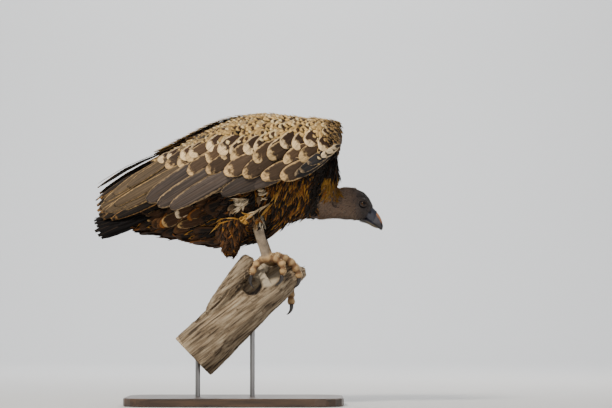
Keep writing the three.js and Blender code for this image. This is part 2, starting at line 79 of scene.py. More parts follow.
def studio():
    world = bpy.data.worlds.new("studio")
    world.use_nodes = True
    background = world.node_tree.nodes["Background"]
    background.inputs["Color"].default_value = (0.82, 0.88, 0.98, 1)
    background.inputs["Strength"].default_value = 0.42
    bpy.context.scene.world = world
    middle = (0, 0, 0.5)
    area_light("key", (-1.5, -2.6, 3.3), middle, 0.8, 175, (1.0, 0.93, 0.82))
    area_light("rim", (1.4, 2.4, 2.8), middle, 1.4, 60, (1.0, 0.94, 0.86))
    area_light("low fill", (1.6, -3.6, 0.5), middle, 2.2, 14, (0.95, 0.93, 0.95))
    area_light("wall wash", (0.0, 3.4, 5.5), (0.0, 7.6, 2.2), 3.0, 520, (0.97, 0.98, 1.0))


def floor_sweep():
    """A floor that turns up into a wall well behind the stand."""
    deselect()
    bpy.ops.mesh.primitive_plane_add(size=1, location=(0, 0, 0))
    floor = bpy.context.object
    floor.name = "floor"
    reach, back, rise, bend, steps = 14.0, 6.0, 9.0, 2.0, 12
    profile = [(-reach, 0.0)]
    profile += [
        (back + bend * math.sin(a), bend * (1 - math.cos(a)))
        for a in np.linspace(0, math.pi / 2, steps)
    ]
    profile.append((back + bend, rise))
    points = [(x, y, z - 0.0004) for y, z in profile for x in (-reach, reach)]
    faces = [(2 * i, 2 * i + 1, 2 * i + 3, 2 * i + 2) for i in range(len(profile) - 1)]
    floor.data.clear_geometry()
    floor.data.from_pydata(points, [], faces)
    floor.data.shade_smooth()
    material, tree, shader = new_material("pale floor", roughness=0.8)
    grain = add(tree, "ShaderNodeTexNoise", Scale=2.0, Detail=3.0)
    ramp = colour_ramp(tree, grain.outputs["Fac"], [(0.3, (0.66, 0.66, 0.65)), (0.7, (0.70, 0.70, 0.69))])
    tree.links.new(ramp, shader.inputs["Base Color"])
    floor.data.materials.append(material)


# ---------------------------------------------------------------- helpers for objects and materials
def deselect():
    for obj in bpy.context.selected_objects:
        obj.select_set(False)


def make_active(obj):
    deselect()
    obj.select_set(True)
    bpy.context.view_layer.objects.active = obj


def copy_of(name, node_names):
    """One object that holds copies of some CAD nodes' meshes, with their loose corners merged."""
    copies = []
    for node_name in node_names:
        made = bpy.data.objects.new(name, nodes[node_name].data.copy())
        bpy.context.scene.collection.objects.link(made)
        made.data.materials.clear()
        copies.append(made)
    make_active(copies[0])
    for made in copies:
        made.select_set(True)
    bpy.ops.object.join()
    bpy.ops.object.mode_set(mode="EDIT")
    bpy.ops.mesh.select_all(action="SELECT")
    bpy.ops.mesh.remove_doubles(threshold=0.01 * MM)
    bpy.ops.object.mode_set(mode="OBJECT")
    copies[0].name = name
    return copies[0]


def apply_modifier(obj, kind, **settings):
    make_active(obj)
    modifier = obj.modifiers.new(kind.lower(), kind)
    for key, value in settings.items():
        setattr(modifier, key, value)
    bpy.ops.object.modifier_apply(modifier=modifier.name)


def corners_of(obj):
    flat = np.empty(len(obj.data.vertices) * 3)
    obj.data.vertices.foreach_get("co", flat)
    return flat.reshape(-1, 3)


def normals_of(obj):
    flat = np.empty(len(obj.data.vertices) * 3)
    obj.data.vertex_normals.foreach_get("vector", flat)
    return flat.reshape(-1, 3)


def move_corners(obj, points):
    obj.data.vertices.foreach_set("co", np.ascontiguousarray(points).ravel())
    obj.data.update()


def settle(obj, material, slot, *replaced):
    """Gives a finished piece its material and its body, and hides the nodes that it stands for."""
    obj.data.materials.append(material)
    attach(obj, "root")
    if replaced:
        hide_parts(*replaced)
    return obj


def add(tree, kind, settings=None, **inputs):
    """A shader node with its settings and inputs. An input is a value, or a socket to link from."""
    made = tree.nodes.new(kind)
    for key, value in (settings or {}).items():
        setattr(made, key, value)
    for key, value in inputs.items():
        place = int(key[1:]) if key[0] == "i" and key[1:].isdigit() else key.replace("_", " ")
        socket = made.inputs[place]
        if isinstance(value, bpy.types.NodeSocket):
            tree.links.new(value, socket)
        else:
            socket.default_value = value
    return made


def new_material(name, roughness=0.7, **sockets):
    material = bpy.data.materials.new(name)
    material.use_nodes = True
    tree = material.node_tree
    shader = tree.nodes["Principled BSDF"]
    shader.inputs["Roughness"].default_value = roughness
    for key, value in sockets.items():
        shader.inputs[key.replace("_", " ")].default_value = value
    return material, tree, shader


def math_node(tree, operation, first, second=0.0, third=0.0):
    return add(tree, "ShaderNodeMath", {"operation": operation}, i0=first, i1=second, i2=third).outputs[0]


def colour_ramp(tree, value, stops):
    ramp = add(tree, "ShaderNodeValToRGB", Fac=value)
    elements = ramp.color_ramp.elements
    while len(elements) < len(stops):
        elements.new(1.0)
    for element, (place, colour) in zip(elements, stops):
        element.position = place
        element.color = (*colour, 1)
    return ramp.outputs["Color"]


def mix_colours(tree, share, first, second, blend="MIX"):
    made = add(tree, "ShaderNodeMix", {"data_type": "RGBA", "blend_type": blend})
    for place, value in ((0, share), (6, first), (7, second)):
        if isinstance(value, bpy.types.NodeSocket):
            tree.links.new(value, made.inputs[place])
        else:
            made.inputs[place].default_value = value if place == 0 else (*value, 1)
    return made.outputs[2]


def shaded(tree, colour, light):
    """A colour made lighter or darker by a value."""
    grey = add(tree, "ShaderNodeCombineColor", Red=light, Green=light, Blue=light).outputs[0]
    return mix_colours(tree, 1.0, colour, grey, "MULTIPLY")


def step_between(tree, value, low, high):
    made = add(tree, "ShaderNodeMapRange", {"interpolation_type": "SMOOTHSTEP"}, Value=value, From_Min=low,
               From_Max=high)
    return made.outputs["Result"]


def object_place(tree):
    return add(tree, "ShaderNodeTexCoord").outputs["Object"]


def bump(tree, shader, height, strength, distance):
    made = add(tree, "ShaderNodeBump", Strength=strength, Distance=distance, Height=height)
    tree.links.new(made.outputs["Normal"], shader.inputs["Normal"])
    return made


def blend_between(first, second, share):
    share = np.asarray(share)[..., None]
    return np.asarray(first) * (1 - share) + np.asarray(second) * share


def curve_through(pairs):
    """A smooth curve through (x, value) pairs, read at any x."""
    xs, ys = np.array(pairs, float).T
    rise = np.append(ys[1:], ys[-1]) - np.insert(ys[:-1], 0, ys[0])
    slope = rise / (np.append(xs[1:], xs[-1]) - np.insert(xs[:-1], 0, xs[0]))

    def value(x):
        x = np.clip(x, xs[0], xs[-1])
        i = np.clip(np.searchsorted(xs, x, side="right") - 1, 0, len(xs) - 2)
        span = xs[i + 1] - xs[i]
        t = (x - xs[i]) / span
        bend = t * (1 - t) * span
        eased = ys[i] + (ys[i + 1] - ys[i]) * t * t * (3 - 2 * t)
        return eased + bend * ((1 - t) * slope[i] - t * slope[i + 1])

    return value


def grid_triangles(rows, columns, flipped=False):
    """The triangles that join a grid of points, which are numbered row by row."""
    triangles = []
    for i in range(rows - 1):
        for j in range(columns - 1):
            here, below = i * columns + j, (i + 1) * columns + j
            a, b, c, d = (here + 1, below + 1, below, here) if flipped else (here, below, below + 1, here + 1)
            triangles += [(a, b, c), (a, c, d)]
    return triangles


def unit(vectors):
    return vectors / np.maximum(np.linalg.norm(vectors, axis=-1, keepdims=True), 1e-12)


# ---------------------------------------------------------------- surfaces that feathers lie on
class Sheet:
    """A surface to lay feathers on: the nearest point of it, with the direction that leaves it there."""

    def __init__(self, points, faces):
        self.tree = BVHTree.FromPolygons([tuple(p) for p in points], faces)
        points = np.asarray(points)
        corners = np.array([face[:3] for face in faces])
        a, b, c = (points[corners[:, i]] for i in range(3))
        across = np.cross(b - a, c - a)
        at_corner = np.zeros_like(points)
        for i in range(3):
            np.add.at(at_corner, corners[:, i], across)
        self.outward = unit(at_corner[corners].mean(axis=1))

    @classmethod
    def of(cls, obj):
        return cls(corners_of(obj), [tuple(p.vertices) for p in obj.data.polygons])

    def at(self, point):
        place, _, face, _ = self.tree.find_nearest(point)
        return np.array(place), self.outward[face]


def walk(sheet, starts, headings, lengths, shares, swerve=None):
    """The line of each shaft over a sheet: its points, the outward directions and its headings there.

    swerve turns each line as it goes, in radians over its whole length."""
    count, rows = len(starts), len(shares)
    points, outward, along = (np.empty((count, rows, 3)) for _ in range(3))
    swerve = np.zeros(count) if swerve is None else swerve
    steps = np.diff(shares, prepend=0.0)
    for i in range(count):
        place, up = sheet.at(starts[i])
        way = unit(headings[i] - up * (headings[i] @ up))
        for k in range(rows):
            if steps[k] > 0:
                turn = swerve[i] * steps[k]
                way = way * math.cos(turn) + np.cross(up, way) * math.sin(turn)
                place, up = sheet.at(place + way * lengths[i] * steps[k])
                way = unit(way - up * (way @ up))
            points[i, k], outward[i, k], along[i, k] = place, up, way
    return points, outward, along


def walk_back(sheet, tips, headings, lengths, shares, swerve=None, off=0.0):
    """Lines laid from the tips towards the roots, then turned round to run from root to tip."""
    points, outward, along = walk(sheet, tips, headings, lengths, 1 - shares[::-1], swerve)
    off = np.broadcast_to(np.asarray(off, float), (len(tips),))[:, None, None]
    return points[:, ::-1] + outward[:, ::-1] * off, outward[:, ::-1], -along[:, ::-1]


# ---------------------------------------------------------------- feathers as closed vanes
class Form:
    """The shape that the feathers of one kind share.

    rows are the places along the shaft where the outline is given, columns how many corners lie across it,
    and widest the place where it is widest. quill and tip are its width at the root and the end, and
    roundness how full the end is. arch lifts the middle, roll turns the feather about its shaft, base moves
    it off the surface and ragged makes the edge uneven."""

    def __init__(self, rows, columns, widest, roundness, quill=0.3, tip=0.25, arch=0.12, roll=0.1,
                 thick=0.5 * MM, base=0.0, ragged=0.0):
        self.shares = np.array(rows)
        self.across = np.linspace(-1, 1, columns)
        opening = np.clip(self.shares / widest, 0, 1)
        closing = np.clip((self.shares - widest) / (1 - widest), 0, 1)
        full = quill + (1 - quill) * np.sin(opening * math.pi / 2)
        rounded = (1 - closing**roundness) ** (1 / roundness)
        self.outline = full * np.maximum(rounded, tip * (self.shares > widest))
        self.arch, self.roll, self.thick, self.base, self.ragged = arch, roll, thick, base, ragged


COVERT_FORM = Form([0, 0.22, 0.45, 0.64, 0.78, 0.88, 0.95, 0.985, 1], 7, 0.55, 2.4, arch=0.10, roll=0.16,
                   thick=0.6 * MM, ragged=0.025)
SMALL_COVERT_FORM = Form([0, 0.35, 0.65, 0.88, 1], 3, 0.5, 2.0, arch=0.14, roll=0.18, thick=0.5 * MM)
QUILL_FORM = Form([0, 0.12, 0.3, 0.5, 0.68, 0.82, 0.92, 0.98, 1], 5, 0.45, 2.0, quill=0.5, arch=0.07,
                  roll=0.12, thick=0.8 * MM, ragged=0.02)
ROUND_QUILL_FORM = Form([0, 0.1, 0.25, 0.45, 0.62, 0.76, 0.86, 0.93, 0.975, 1], 7, 0.58, 2.5, quill=0.5,
                        arch=0.08, roll=0.12, thick=0.8 * MM, ragged=0.02)
LANCE_FORM = Form([0, 0.25, 0.5, 0.75, 1], 3, 0.35, 1.5, tip=0.06, arch=0.2, roll=0.1, thick=0.5 * MM,
                  ragged=0.12)
LOCK_FORM = Form([0, 0.35, 0.7, 1], 3, 0.3, 1.4, tip=0.05, arch=0.35, roll=0.0, thick=0.5 * MM)
SCUTE_FORM = Form([0, 0.3, 0.7, 1], 5, 0.5, 3.0, quill=0.9, tip=0.8, arch=0.6, roll=0.0, thick=0.6 * MM,
                  base=-3.3 * MM)
PATCH = 0.003  # the side of the square that each tuft takes on the skin's unwrap
BAKE_MARGIN = 0.06  # how much of a feather's cell or patch stays free along each side


def bake_cells(count, roots):
    """A square cell for each feather, in the order in which the roots lie along and across the body."""
    side = math.ceil(math.sqrt(count))
    rows = np.argsort(np.argsort(roots[:, 0])) // side
    place = np.empty((count, 2))
    for row in range(rows.max() + 1):
        members = np.flatnonzero(rows == row)
        order = members[np.argsort(roots[members, 2] + 0.3 * roots[members, 1])]
        place[order, 0] = np.arange(len(order)) / side
        place[order, 1] = row / side
    return place, 1 / side


def vanes(name, form, line, widths, lift, paint, material, slot, lean=0.0, patches=None):
    """A piece made of feathers. line is what walk gives, lift how far each tip stands off, paint the colours
    and fringe widths of each, and patches their places on the skin's unwrap."""
    points, outward, along = line
    count, rows, columns = len(points), len(form.shares), len(form.across)
    side = unit(np.cross(along, outward))
    half = 0.5 * np.asarray(widths)[:, None] * form.outline * rng.normal(1, form.ragged, (count, rows))
    height = form.base + np.asarray(lift)[:, None] * form.shares**1.3
    u = form.across
    spread = side[:, :, None] * (half[..., None] * u)[..., None]
    roll = form.roll + np.broadcast_to(np.asarray(lean, float), (count,))[:, None, None]
    rise = height[..., None] + half[..., None] * (form.arch * (1 - u**2) + roll * u)
    top = points[:, :, None] + spread + outward[:, :, None] * rise[..., None]
    under = (top - outward[:, :, None] * form.thick)[:, 1:-1, 1:-1]
    n_top, n_under = rows * columns, (rows - 2) * (columns - 2)
    corners = np.concatenate([top.reshape(count, n_top, 3), under.reshape(count, n_under, 3)], axis=1)
    upper = np.arange(n_top).reshape(rows, columns)
    lower = upper.copy()
    lower[1:-1, 1:-1] = n_top + np.arange(n_under).reshape(rows - 2, columns - 2)
    faces = []
    for i in range(rows - 1):
        for j in range(columns - 1):
            faces.append((upper[i, j], upper[i, j + 1], upper[i + 1, j + 1], upper[i + 1, j]))
            faces.append((lower[i, j], lower[i + 1, j], lower[i + 1, j + 1], lower[i, j + 1]))
    faces = np.array(faces)
    per = n_top + n_under
    everywhere = (faces[None] + per * np.arange(count)[:, None, None]).reshape(-1, 4)
    obj = mesh_from_arrays(name, corners.reshape(-1, 3), everywhere)

    share_u = np.concatenate([np.tile((u + 1) / 2, rows), np.tile((u[1:-1] + 1) / 2, rows - 2)])
    share_v = np.concatenate([np.repeat(form.shares, columns), np.repeat(form.shares[1:-1], columns - 2)])
    vane = np.stack([share_u, share_v], axis=1)
    cells, size = bake_cells(count, points[:, 0]) if patches is None else (patches, PATCH)
    on_loops = everywhere.ravel()
    add_uv(obj, "vane", np.tile(vane, (count, 1))[on_loops])
    on_cell = BAKE_MARGIN + (1 - 2 * BAKE_MARGIN) * vane[None]
    add_uv(obj, "OFBake", (cells[:, None] + size * on_cell).reshape(-1, 2)[on_loops])
    for key in ("centre", "fringe"):
        add_colour(obj, key, np.repeat(paint[key], per, axis=0))
    tone = np.stack([paint["side"], paint["tip"], rng.random(count)], axis=1)
    add_colour(obj, "tone", np.repeat(tone, per, axis=0))
    obj.data.shade_smooth()
    return settle(obj, material, slot)


def mesh_from_arrays(name, corners, quads):
    mesh = bpy.data.meshes.new(name)
    mesh.vertices.add(len(corners))
    mesh.vertices.foreach_set("co", corners.ravel())
    mesh.loops.add(quads.size)
    mesh.loops.foreach_set("vertex_index", quads.ravel().astype(np.int32))
    mesh.polygons.add(len(quads))
    mesh.polygons.foreach_set("loop_start", np.arange(0, quads.size, quads.shape[1], dtype=np.int32))
    mesh.update(calc_edges=True)
    obj = bpy.data.objects.new(name, mesh)
    bpy.context.scene.collection.objects.link(obj)
    return obj


def add_uv(obj, name, places):
    layer = obj.data.uv_layers.new(name=name)
    layer.data.foreach_set("uv", np.ascontiguousarray(places, dtype=np.float32).ravel())


def add_colour(obj, name, colours):
    layer = obj.data.color_attributes.new(name, "FLOAT_COLOR", "POINT")
    full = np.concatenate([colours, np.ones((len(colours), 1))], axis=1)
    layer.data.foreach_set("color", np.ascontiguousarray(full, dtype=np.float32).ravel())


def coloured(count, centre, fringe, side, tip, vary=0.12):
    """The paint of a row: the same colours all along it, each feather a little lighter or darker."""
    light = 1 + vary * rng.normal(size=(count, 1))
    return {
        "centre": np.clip(np.broadcast_to(centre, (count, 3)) * light, 0, 1),
        "fringe": np.clip(np.broadcast_to(fringe, (count, 3)) * (1 + (light - 1) * 0.5), 0, 1),
        "side": np.clip(side * (1 + 0.2 * rng.normal(size=count)), 0.01, 0.9),
        "tip": tip * (1 + 0.2 * rng.normal(size=count)),
    }


def vane_noise(tree, *axes, detail):
    """Noise over each feather, from three values that are each given with a scale."""
    x, y, z = (math_node(tree, "MULTIPLY", value, scale) for value, scale in axes)
    place = add(tree, "ShaderNodeCombineXYZ", X=x, Y=y, Z=z).outputs[0]
    return add(tree, "ShaderNodeTexNoise", Vector=place, Scale=1.0, Detail=detail).outputs["Fac"]


def feather_material(name, roughness, barb_scale, barb_strength, wear=0.5, sheen=0.03, streak=1.2):
    """A vane with a pale fringe round a darker middle, a fine shaft, and barbs that slant away from it.

    wear is how far the barbs differ in lightness, and streak how far the streaks along the vane do."""
    material, tree, shader = new_material(name, roughness, Sheen_Weight=sheen, Sheen_Roughness=0.5)
    shader.inputs["Specular IOR Level"].default_value = 0.16
    uv = add(tree, "ShaderNodeUVMap", {"uv_map": "vane"}).outputs["UV"]
    parts = add(tree, "ShaderNodeSeparateXYZ", Vector=uv).outputs
    across = math_node(tree, "ABSOLUTE", math_node(tree, "MULTIPLY_ADD", parts[0], 2.0, -1.0))
    centre, fringe, tone = (
        add(tree, "ShaderNodeAttribute", {"attribute_name": key}).outputs["Color"]
        for key in ("centre", "fringe", "tone")
    )
    widths = add(tree, "ShaderNodeSeparateColor", Color=tone).outputs
    place = object_place(tree)
    blotch = add(tree, "ShaderNodeTexNoise", Vector=place, Scale=120.0, Detail=2.0).outputs["Fac"]
    uneven = math_node(tree, "MULTIPLY_ADD", blotch, 0.34, -0.17)
    from_side = math_node(tree, "ADD", math_node(tree, "ADD", across, widths[0]), uneven)
    from_tip = math_node(tree, "ADD", math_node(tree, "ADD", parts[1], widths[1]), uneven)
    side = step_between(tree, from_side, 0.9, 1.08)
    tip = step_between(tree, from_tip, 0.92, 1.06)
    mask = math_node(tree, "MAXIMUM", side, tip)
    slant = math_node(tree, "MULTIPLY_ADD", across, -0.35, parts[1])
    barbs = vane_noise(tree, (slant, barb_scale), (across, 1.5), (widths[2], 40.0), detail=2.0)
    plain = mix_colours(tree, mask, centre, fringe)
    light = math_node(tree, "MULTIPLY_ADD", barbs, wear, 1 - wear / 2)
    light = math_node(tree, "MULTIPLY", light, math_node(tree, "MULTIPLY_ADD", blotch, 0.3, 0.85))
    streaks = vane_noise(tree, (parts[0], 13.0), (parts[1], 1.4), (widths[2], 60.0), detail=3.0)
    streaked = math_node(tree, "MULTIPLY_ADD", streaks, streak, 1 - streak / 2)
    light = math_node(tree, "MULTIPLY", light, streaked)
    barbed = shaded(tree, plain, light)
    shaft = step_between(tree, across, 0.10, 0.03)
    dark = mix_colours(tree, 0.6, plain, (0.08, 0.05, 0.03))
    coloured_vane = mix_colours(tree, math_node(tree, "MULTIPLY", shaft, 0.6), barbed, dark)
    tree.links.new(coloured_vane, shader.inputs["Base Color"])
    bump(tree, shader, barbs, barb_strength, 0.4 * MM)
    return material


# ---------------------------------------------------------------- the sheet that each folded wing lies on
# In millimetres along X, from wing tip to wrist, as in the part's own source.
WING_TOP = curve_through([
    (-346, 508), (-300, 545), (-259, 573), (-190, 607), (-134, 637), (-95, 659), (-30, 692), (60, 716),
    (170, 706), (240, 699), (262, 688), (270, 664),
])
WING_FOOT = curve_through([(-346, 455), (-180, 470), (20, 500), (150, 560), (236, 605), (270, 632)])
WING_OUT = curve_through([
    (-346, 40), (-270, 66), (-190, 96), (-110, 122), (-20, 143), (90, 150), (200, 142), (250, 126),
    (268, 106),
])
WING_IN = curve_through([(-346, 6), (-200, 12), (-110, 20), (40, 40), (150, 58), (230, 74), (268, 88)])
COVERT_EDGE = curve_through([
    (-200, 592), (-150, 580), (-60, 570), (60, 562), (130, 560), (200, 590), (240, 622), (268, 640),
])
WING_ROUNDNESS = 2.3
WING_STEP = 4.0  # between the sheet's slices
WING_TIP = -346  # behind this place the sheet falls away, to carry the tips that pass the wing's end
FAR_WING_LIFT = 26
WING_SKIRT = 130  # how far the sheet runs on below the wing's widest line


class WingSheet(Sheet):
    """One wing's outer surface, with places read by X and by the distance down from its upper edge."""

    def __init__(self, side_name):
        self.side = SIDES[side_name]
        self.xs = np.arange(-400, 283, WING_STEP)
        turns = np.linspace(0, math.pi / 2, 40)
        self.lift = FAR_WING_LIFT if side_name == "left" else 0
        rows = []
        for x in self.xs:
            top, foot, out, inner = WING_TOP(x), WING_FOOT(x), WING_OUT(x), WING_IN(x)
            fall = -0.72 * min(0, x - WING_TIP)
            y = inner + (out - inner) * np.sin(turns) ** (2 / WING_ROUNDNESS)
            z = foot + (top - foot) * np.cos(turns) ** (2 / WING_ROUNDNESS)
            skirt = np.arange(4.0, WING_SKIRT, 6.0)
            y = np.append(y, np.full(len(skirt), out) - 0.12 * skirt)
            z = np.append(z, foot - skirt) + self.lift_at(x) - fall
            rows.append(np.stack([np.full(len(y), x), self.side * y, z], axis=1))
        self.grid = np.array(rows)
        down = np.linalg.norm(np.diff(self.grid, axis=1), axis=2)
        self.depth = np.concatenate([np.zeros((len(rows), 1)), np.cumsum(down, axis=1)], axis=1)
        triangles = grid_triangles(*self.grid.shape[:2], flipped=self.side < 0)
        super().__init__(self.grid.reshape(-1, 3) * MM, triangles)

    def slice_at(self, x):
        return int(np.clip(round((x - self.xs[0]) / WING_STEP), 0, len(self.xs) - 1))

    def lift_at(self, x):
        share = np.clip((180 - x) / 300, 0, 1)
        return self.lift * share**2 * (3 - 2 * share)

    def place(self, x, down):
        i = self.slice_at(x)
        return np.array([x, *(np.interp(down, self.depth[i], self.grid[i, :, k]) for k in (1, 2))])

    def edge(self, x):
        """How far down the edge of the greater coverts lies."""
        i = self.slice_at(x)
        below = self.grid[i, :, 2] - self.lift_at(x) < COVERT_EDGE(x)
        return self.depth[i, np.argmax(below)]

    def beside(self, x, z):
        """The place at X and height z in the side view."""
        i = self.slice_at(x)
        height = z + self.lift_at(x)
        y = np.interp(-height, -self.grid[i, :, 2], self.grid[i, :, 1])
        return np.array([x, y, height])


def backward(angle, side=0.0):
    """A heading towards the tail that dips by an angle in degrees."""
    dip = np.radians(angle)
    return np.stack([-np.cos(dip), np.full_like(dip, side), -np.sin(dip)], axis=-1)


# Rows of coverts from the wing's lower edge up: how far the tips lie above the edge of the greater coverts,
# how unevenly, and the feathers' length, width, spacing, dip, lift and paint.
COVERT_ROWS = {
    "greater": dict(above=2, uneven=7, length=122, width=42, pitch=47, dip=28, front=122),
    "middle": dict(above=32, uneven=6, length=92, width=44, pitch=38, dip=36, front=160),
    "median": dict(above=54, uneven=7, length=74, width=42, pitch=31, dip=48, front=214),
}
COVERT_PAINT = {
    "greater": ((0.060, 0.038, 0.023), (0.62, 0.40, 0.18), 0.09, 0.10),
    "middle": ((0.080, 0.047, 0.025), (0.66, 0.44, 0.20), 0.13, 0.15),
    "median": ((0.034, 0.018, 0.010), (0.76, 0.54, 0.29), 0.17, 0.22),
}
COVERT_LIFT = {"greater": 5.0, "middle": 6.0, "median": 9.0}
LESSER = dict(first=66, step=8.4, length=37, width=22.5, pitch=13.5, dip=44)
COVERTS_TOP = 172  # how far above the edge of the greater coverts the wing's upper edge lies
COVERTS_FRONT = 262
COVERTS_BACK = -204
# The rows of small dark coverts that close the wing round the wrist: their spacing, ends and size.
WRIST_STEP = 7.0
WRIST_FRONT = 256
WRIST_BACK = 206
WRIST_SIZE = 0.74


def covert_lines(sheet, form, above, length, width, pitch, dip, uneven=2.0, front=COVERTS_FRONT,
                 back=COVERTS_BACK, stagger=0.0):
    """Shafts of one row of coverts, laid from their tips up to their roots."""
    xs = np.arange(front - pitch * stagger, back, -pitch)
    xs = xs + rng.normal(0, pitch * 0.12, len(xs))
    tips, headings = [], []
    for x in xs:
        down = sheet.edge(x) * (1 - above / COVERTS_TOP) + rng.normal(0, uneven)
        tips.append(sheet.place(x, max(down, 2.0)))
    front_share = np.clip((xs - 150) / 110, 0, 1)
    dips = dip + 28 * front_share + rng.normal(0, 3, len(xs))
    headings = -backward(dips)
    rear_share = np.clip((-60 - xs) / 140, 0, 1)
    lengths = length * (1 - 0.35 * front_share) * (1 - 0.1 * rear_share) * rng.normal(1, 0.05, len(xs))
    widths = width * (1 - 0.25 * front_share) * rng.normal(1, 0.05, len(xs))
    line = walk_back(sheet, np.array(tips) * MM, headings, lengths * MM, form.shares)
    return line, widths * MM, xs


def covert_rows(side_name):
    """The greater, middle, median and lesser coverts of one wing."""
    sheet = WINGS[side_name]
    lean = -0.05 * SIDES[side_name]
    for row_name, row in COVERT_ROWS.items():
        line, widths, _ = covert_lines(sheet, COVERT_FORM, **row)
        count = len(widths)
        paint = coloured(count, *COVERT_PAINT[row_name], vary=0.22)
        lift = COVERT_LIFT[row_name] * rng.normal(1, 0.2, count) * MM
        vanes(f"{row_name}_coverts_{side_name}", COVERT_FORM, line, widths, lift, paint,
              MATERIALS["covert"], "covert_feathers", lean + rng.normal(0, 0.03, count))
    lesser_coverts(side_name, sheet, lean)


def lesser_coverts(side_name, sheet, lean):
    """Rows of small coverts up to the wing's upper edge, smaller and smaller, darkest round the wrist."""
    lines, widths, paints = [], [], []
    above, index = 2.0, 0
    while above < COVERTS_TOP:
        round_wrist = above < LESSER["first"]
        share = max(above - LESSER["first"], 0) / (COVERTS_TOP - LESSER["first"])
        size = WRIST_SIZE if round_wrist else 1 - 0.42 * share
        line, wide, xs = covert_lines(
            sheet, SMALL_COVERT_FORM, above, LESSER["length"] * size, LESSER["width"] * size,
            LESSER["pitch"] * size, LESSER["dip"] - 10 * share, uneven=3.0, stagger=0.5 * (index % 2),
            front=WRIST_FRONT if round_wrist else COVERTS_FRONT,
            back=WRIST_BACK if round_wrist else COVERTS_BACK,
        )
        count = len(wide)
        paint = coloured(count, (0.060, 0.030, 0.014), (0.64, 0.41, 0.145), 0.28, 0.22, vary=0.26)
        pale = rng.random((count, 1)) < 0.25
        paint["fringe"] = np.where(pale, np.array([0.82, 0.61, 0.31]), paint["fringe"])
        tan = rng.random((count, 1)) < 0.30 + 0.20 * share
        paint["centre"] = np.where(tan, np.array([0.40, 0.25, 0.10]), paint["centre"])
        wrist = np.clip((xs - 216) / 16, 0, 1) * (share < 0.7)
        paint["fringe"] = blend_between(paint["fringe"], (0.25, 0.15, 0.06), 0.9 * wrist)
        paint["side"] = paint["side"] * (1 - 0.4 * wrist)
        paint["centre"] = blend_between(paint["centre"], (0.022, 0.014, 0.009), wrist)
        lines.append(line)
        widths.append(wide)
        paints.append(paint)
        above += WRIST_STEP if round_wrist else LESSER["step"] * (1 - 0.3 * share)
        index += 1
    line = tuple(np.concatenate([part[k] for part in lines]) for k in range(3))
    paint = {key: np.concatenate([part[key] for part in paints]) for key in paints[0]}
    widths = np.concatenate(widths)
    lift = rng.normal(6.0, 2.0, len(widths)) * MM
    vanes(f"lesser_coverts_{side_name}", SMALL_COVERT_FORM, line, widths, lift, paint,
          MATERIALS["covert"], "covert_feathers", lean)


# Flight feathers from the lowest layer to the topmost, in millimetres and degrees. base is how far off the
# sheet a row starts and lift how far its tips stand up. For each feather: the tip's place in the side view,
# and the feather's length, width and dip.
FLIGHT_ROWS = {
    "primaries": dict(form=QUILL_FORM, base=-15, lift=12, feathers=[
        (-306, 459, 230, 30, 22), (-326, 461, 240, 30, 24), (-336, 470, 250, 28, 26),
        (-340, 480, 260, 28, 28), (-341, 493, 270, 27, 30), (-344, 505, 275, 24, 30),
        (-343, 515, 270, 22, 30),
    ]),
    "secondaries": dict(form=ROUND_QUILL_FORM, base=-13, lift=1.5, feathers=[
        (96, 560, 150, 36, 24), (74, 552, 160, 38, 24), (36, 534, 180, 40, 25), (2, 524, 190, 42, 26),
        (-30, 516, 210, 42, 26), (-62, 524, 200, 40, 27), (-98, 513, 220, 44, 28), (-128, 496, 236, 40, 26),
        (-156, 484, 250, 42, 25), (-187, 491, 252, 46, 25), (-214, 503, 250, 50, 27),
    ]),
    "tertials": dict(form=ROUND_QUILL_FORM, base=-5, lift=1.5, feathers=[
        (-262, 496, 250, 40, 24), (-337, 469, 300, 38, 21), (-318, 478, 280, 30, 22),
        (-334, 486, 300, 32, 23), (-298, 494, 260, 28, 24), (-322, 503, 290, 30, 25),
        (-300, 520, 270, 30, 27), (-262, 537, 230, 30, 27),
    ]),
    "alula": dict(form=ROUND_QUILL_FORM, base=1, lift=5, feathers=[
        (150, 560, 100, 28, 30), (162, 572, 92, 26, 30), (180, 590, 80, 26, 27),
    ]),
    "alula_coverts": dict(form=COVERT_FORM, base=6, lift=5, feathers=[
        (212, 608, 44, 18, 24), (224, 618, 34, 15, 20), (236, 628, 26, 13, 20),
    ]),
}
FLIGHT_PAINT = {
    "primaries": ((0.013, 0.009, 0.006), (0.42, 0.22, 0.07), 0.12, -0.02),
    "secondaries": ((0.056, 0.042, 0.034), (0.36, 0.24, 0.12), 0.10, -0.05),
    "tertials": ((0.088, 0.060, 0.034), (0.46, 0.29, 0.12), 0.13, -0.08),
    "alula": ((0.018, 0.016, 0.016), (0.30, 0.21, 0.12), 0.09, 0.03),
    "alula_coverts": ((0.050, 0.035, 0.022), (0.74, 0.56, 0.33), 0.30, 0.40),
}
FLIGHT_LAYER = 1.3  # from each feather to the next one up
FAR_PRIMARIES_RISE = 9  # how far the left wing's primaries bend up, to show above the right wing's edge


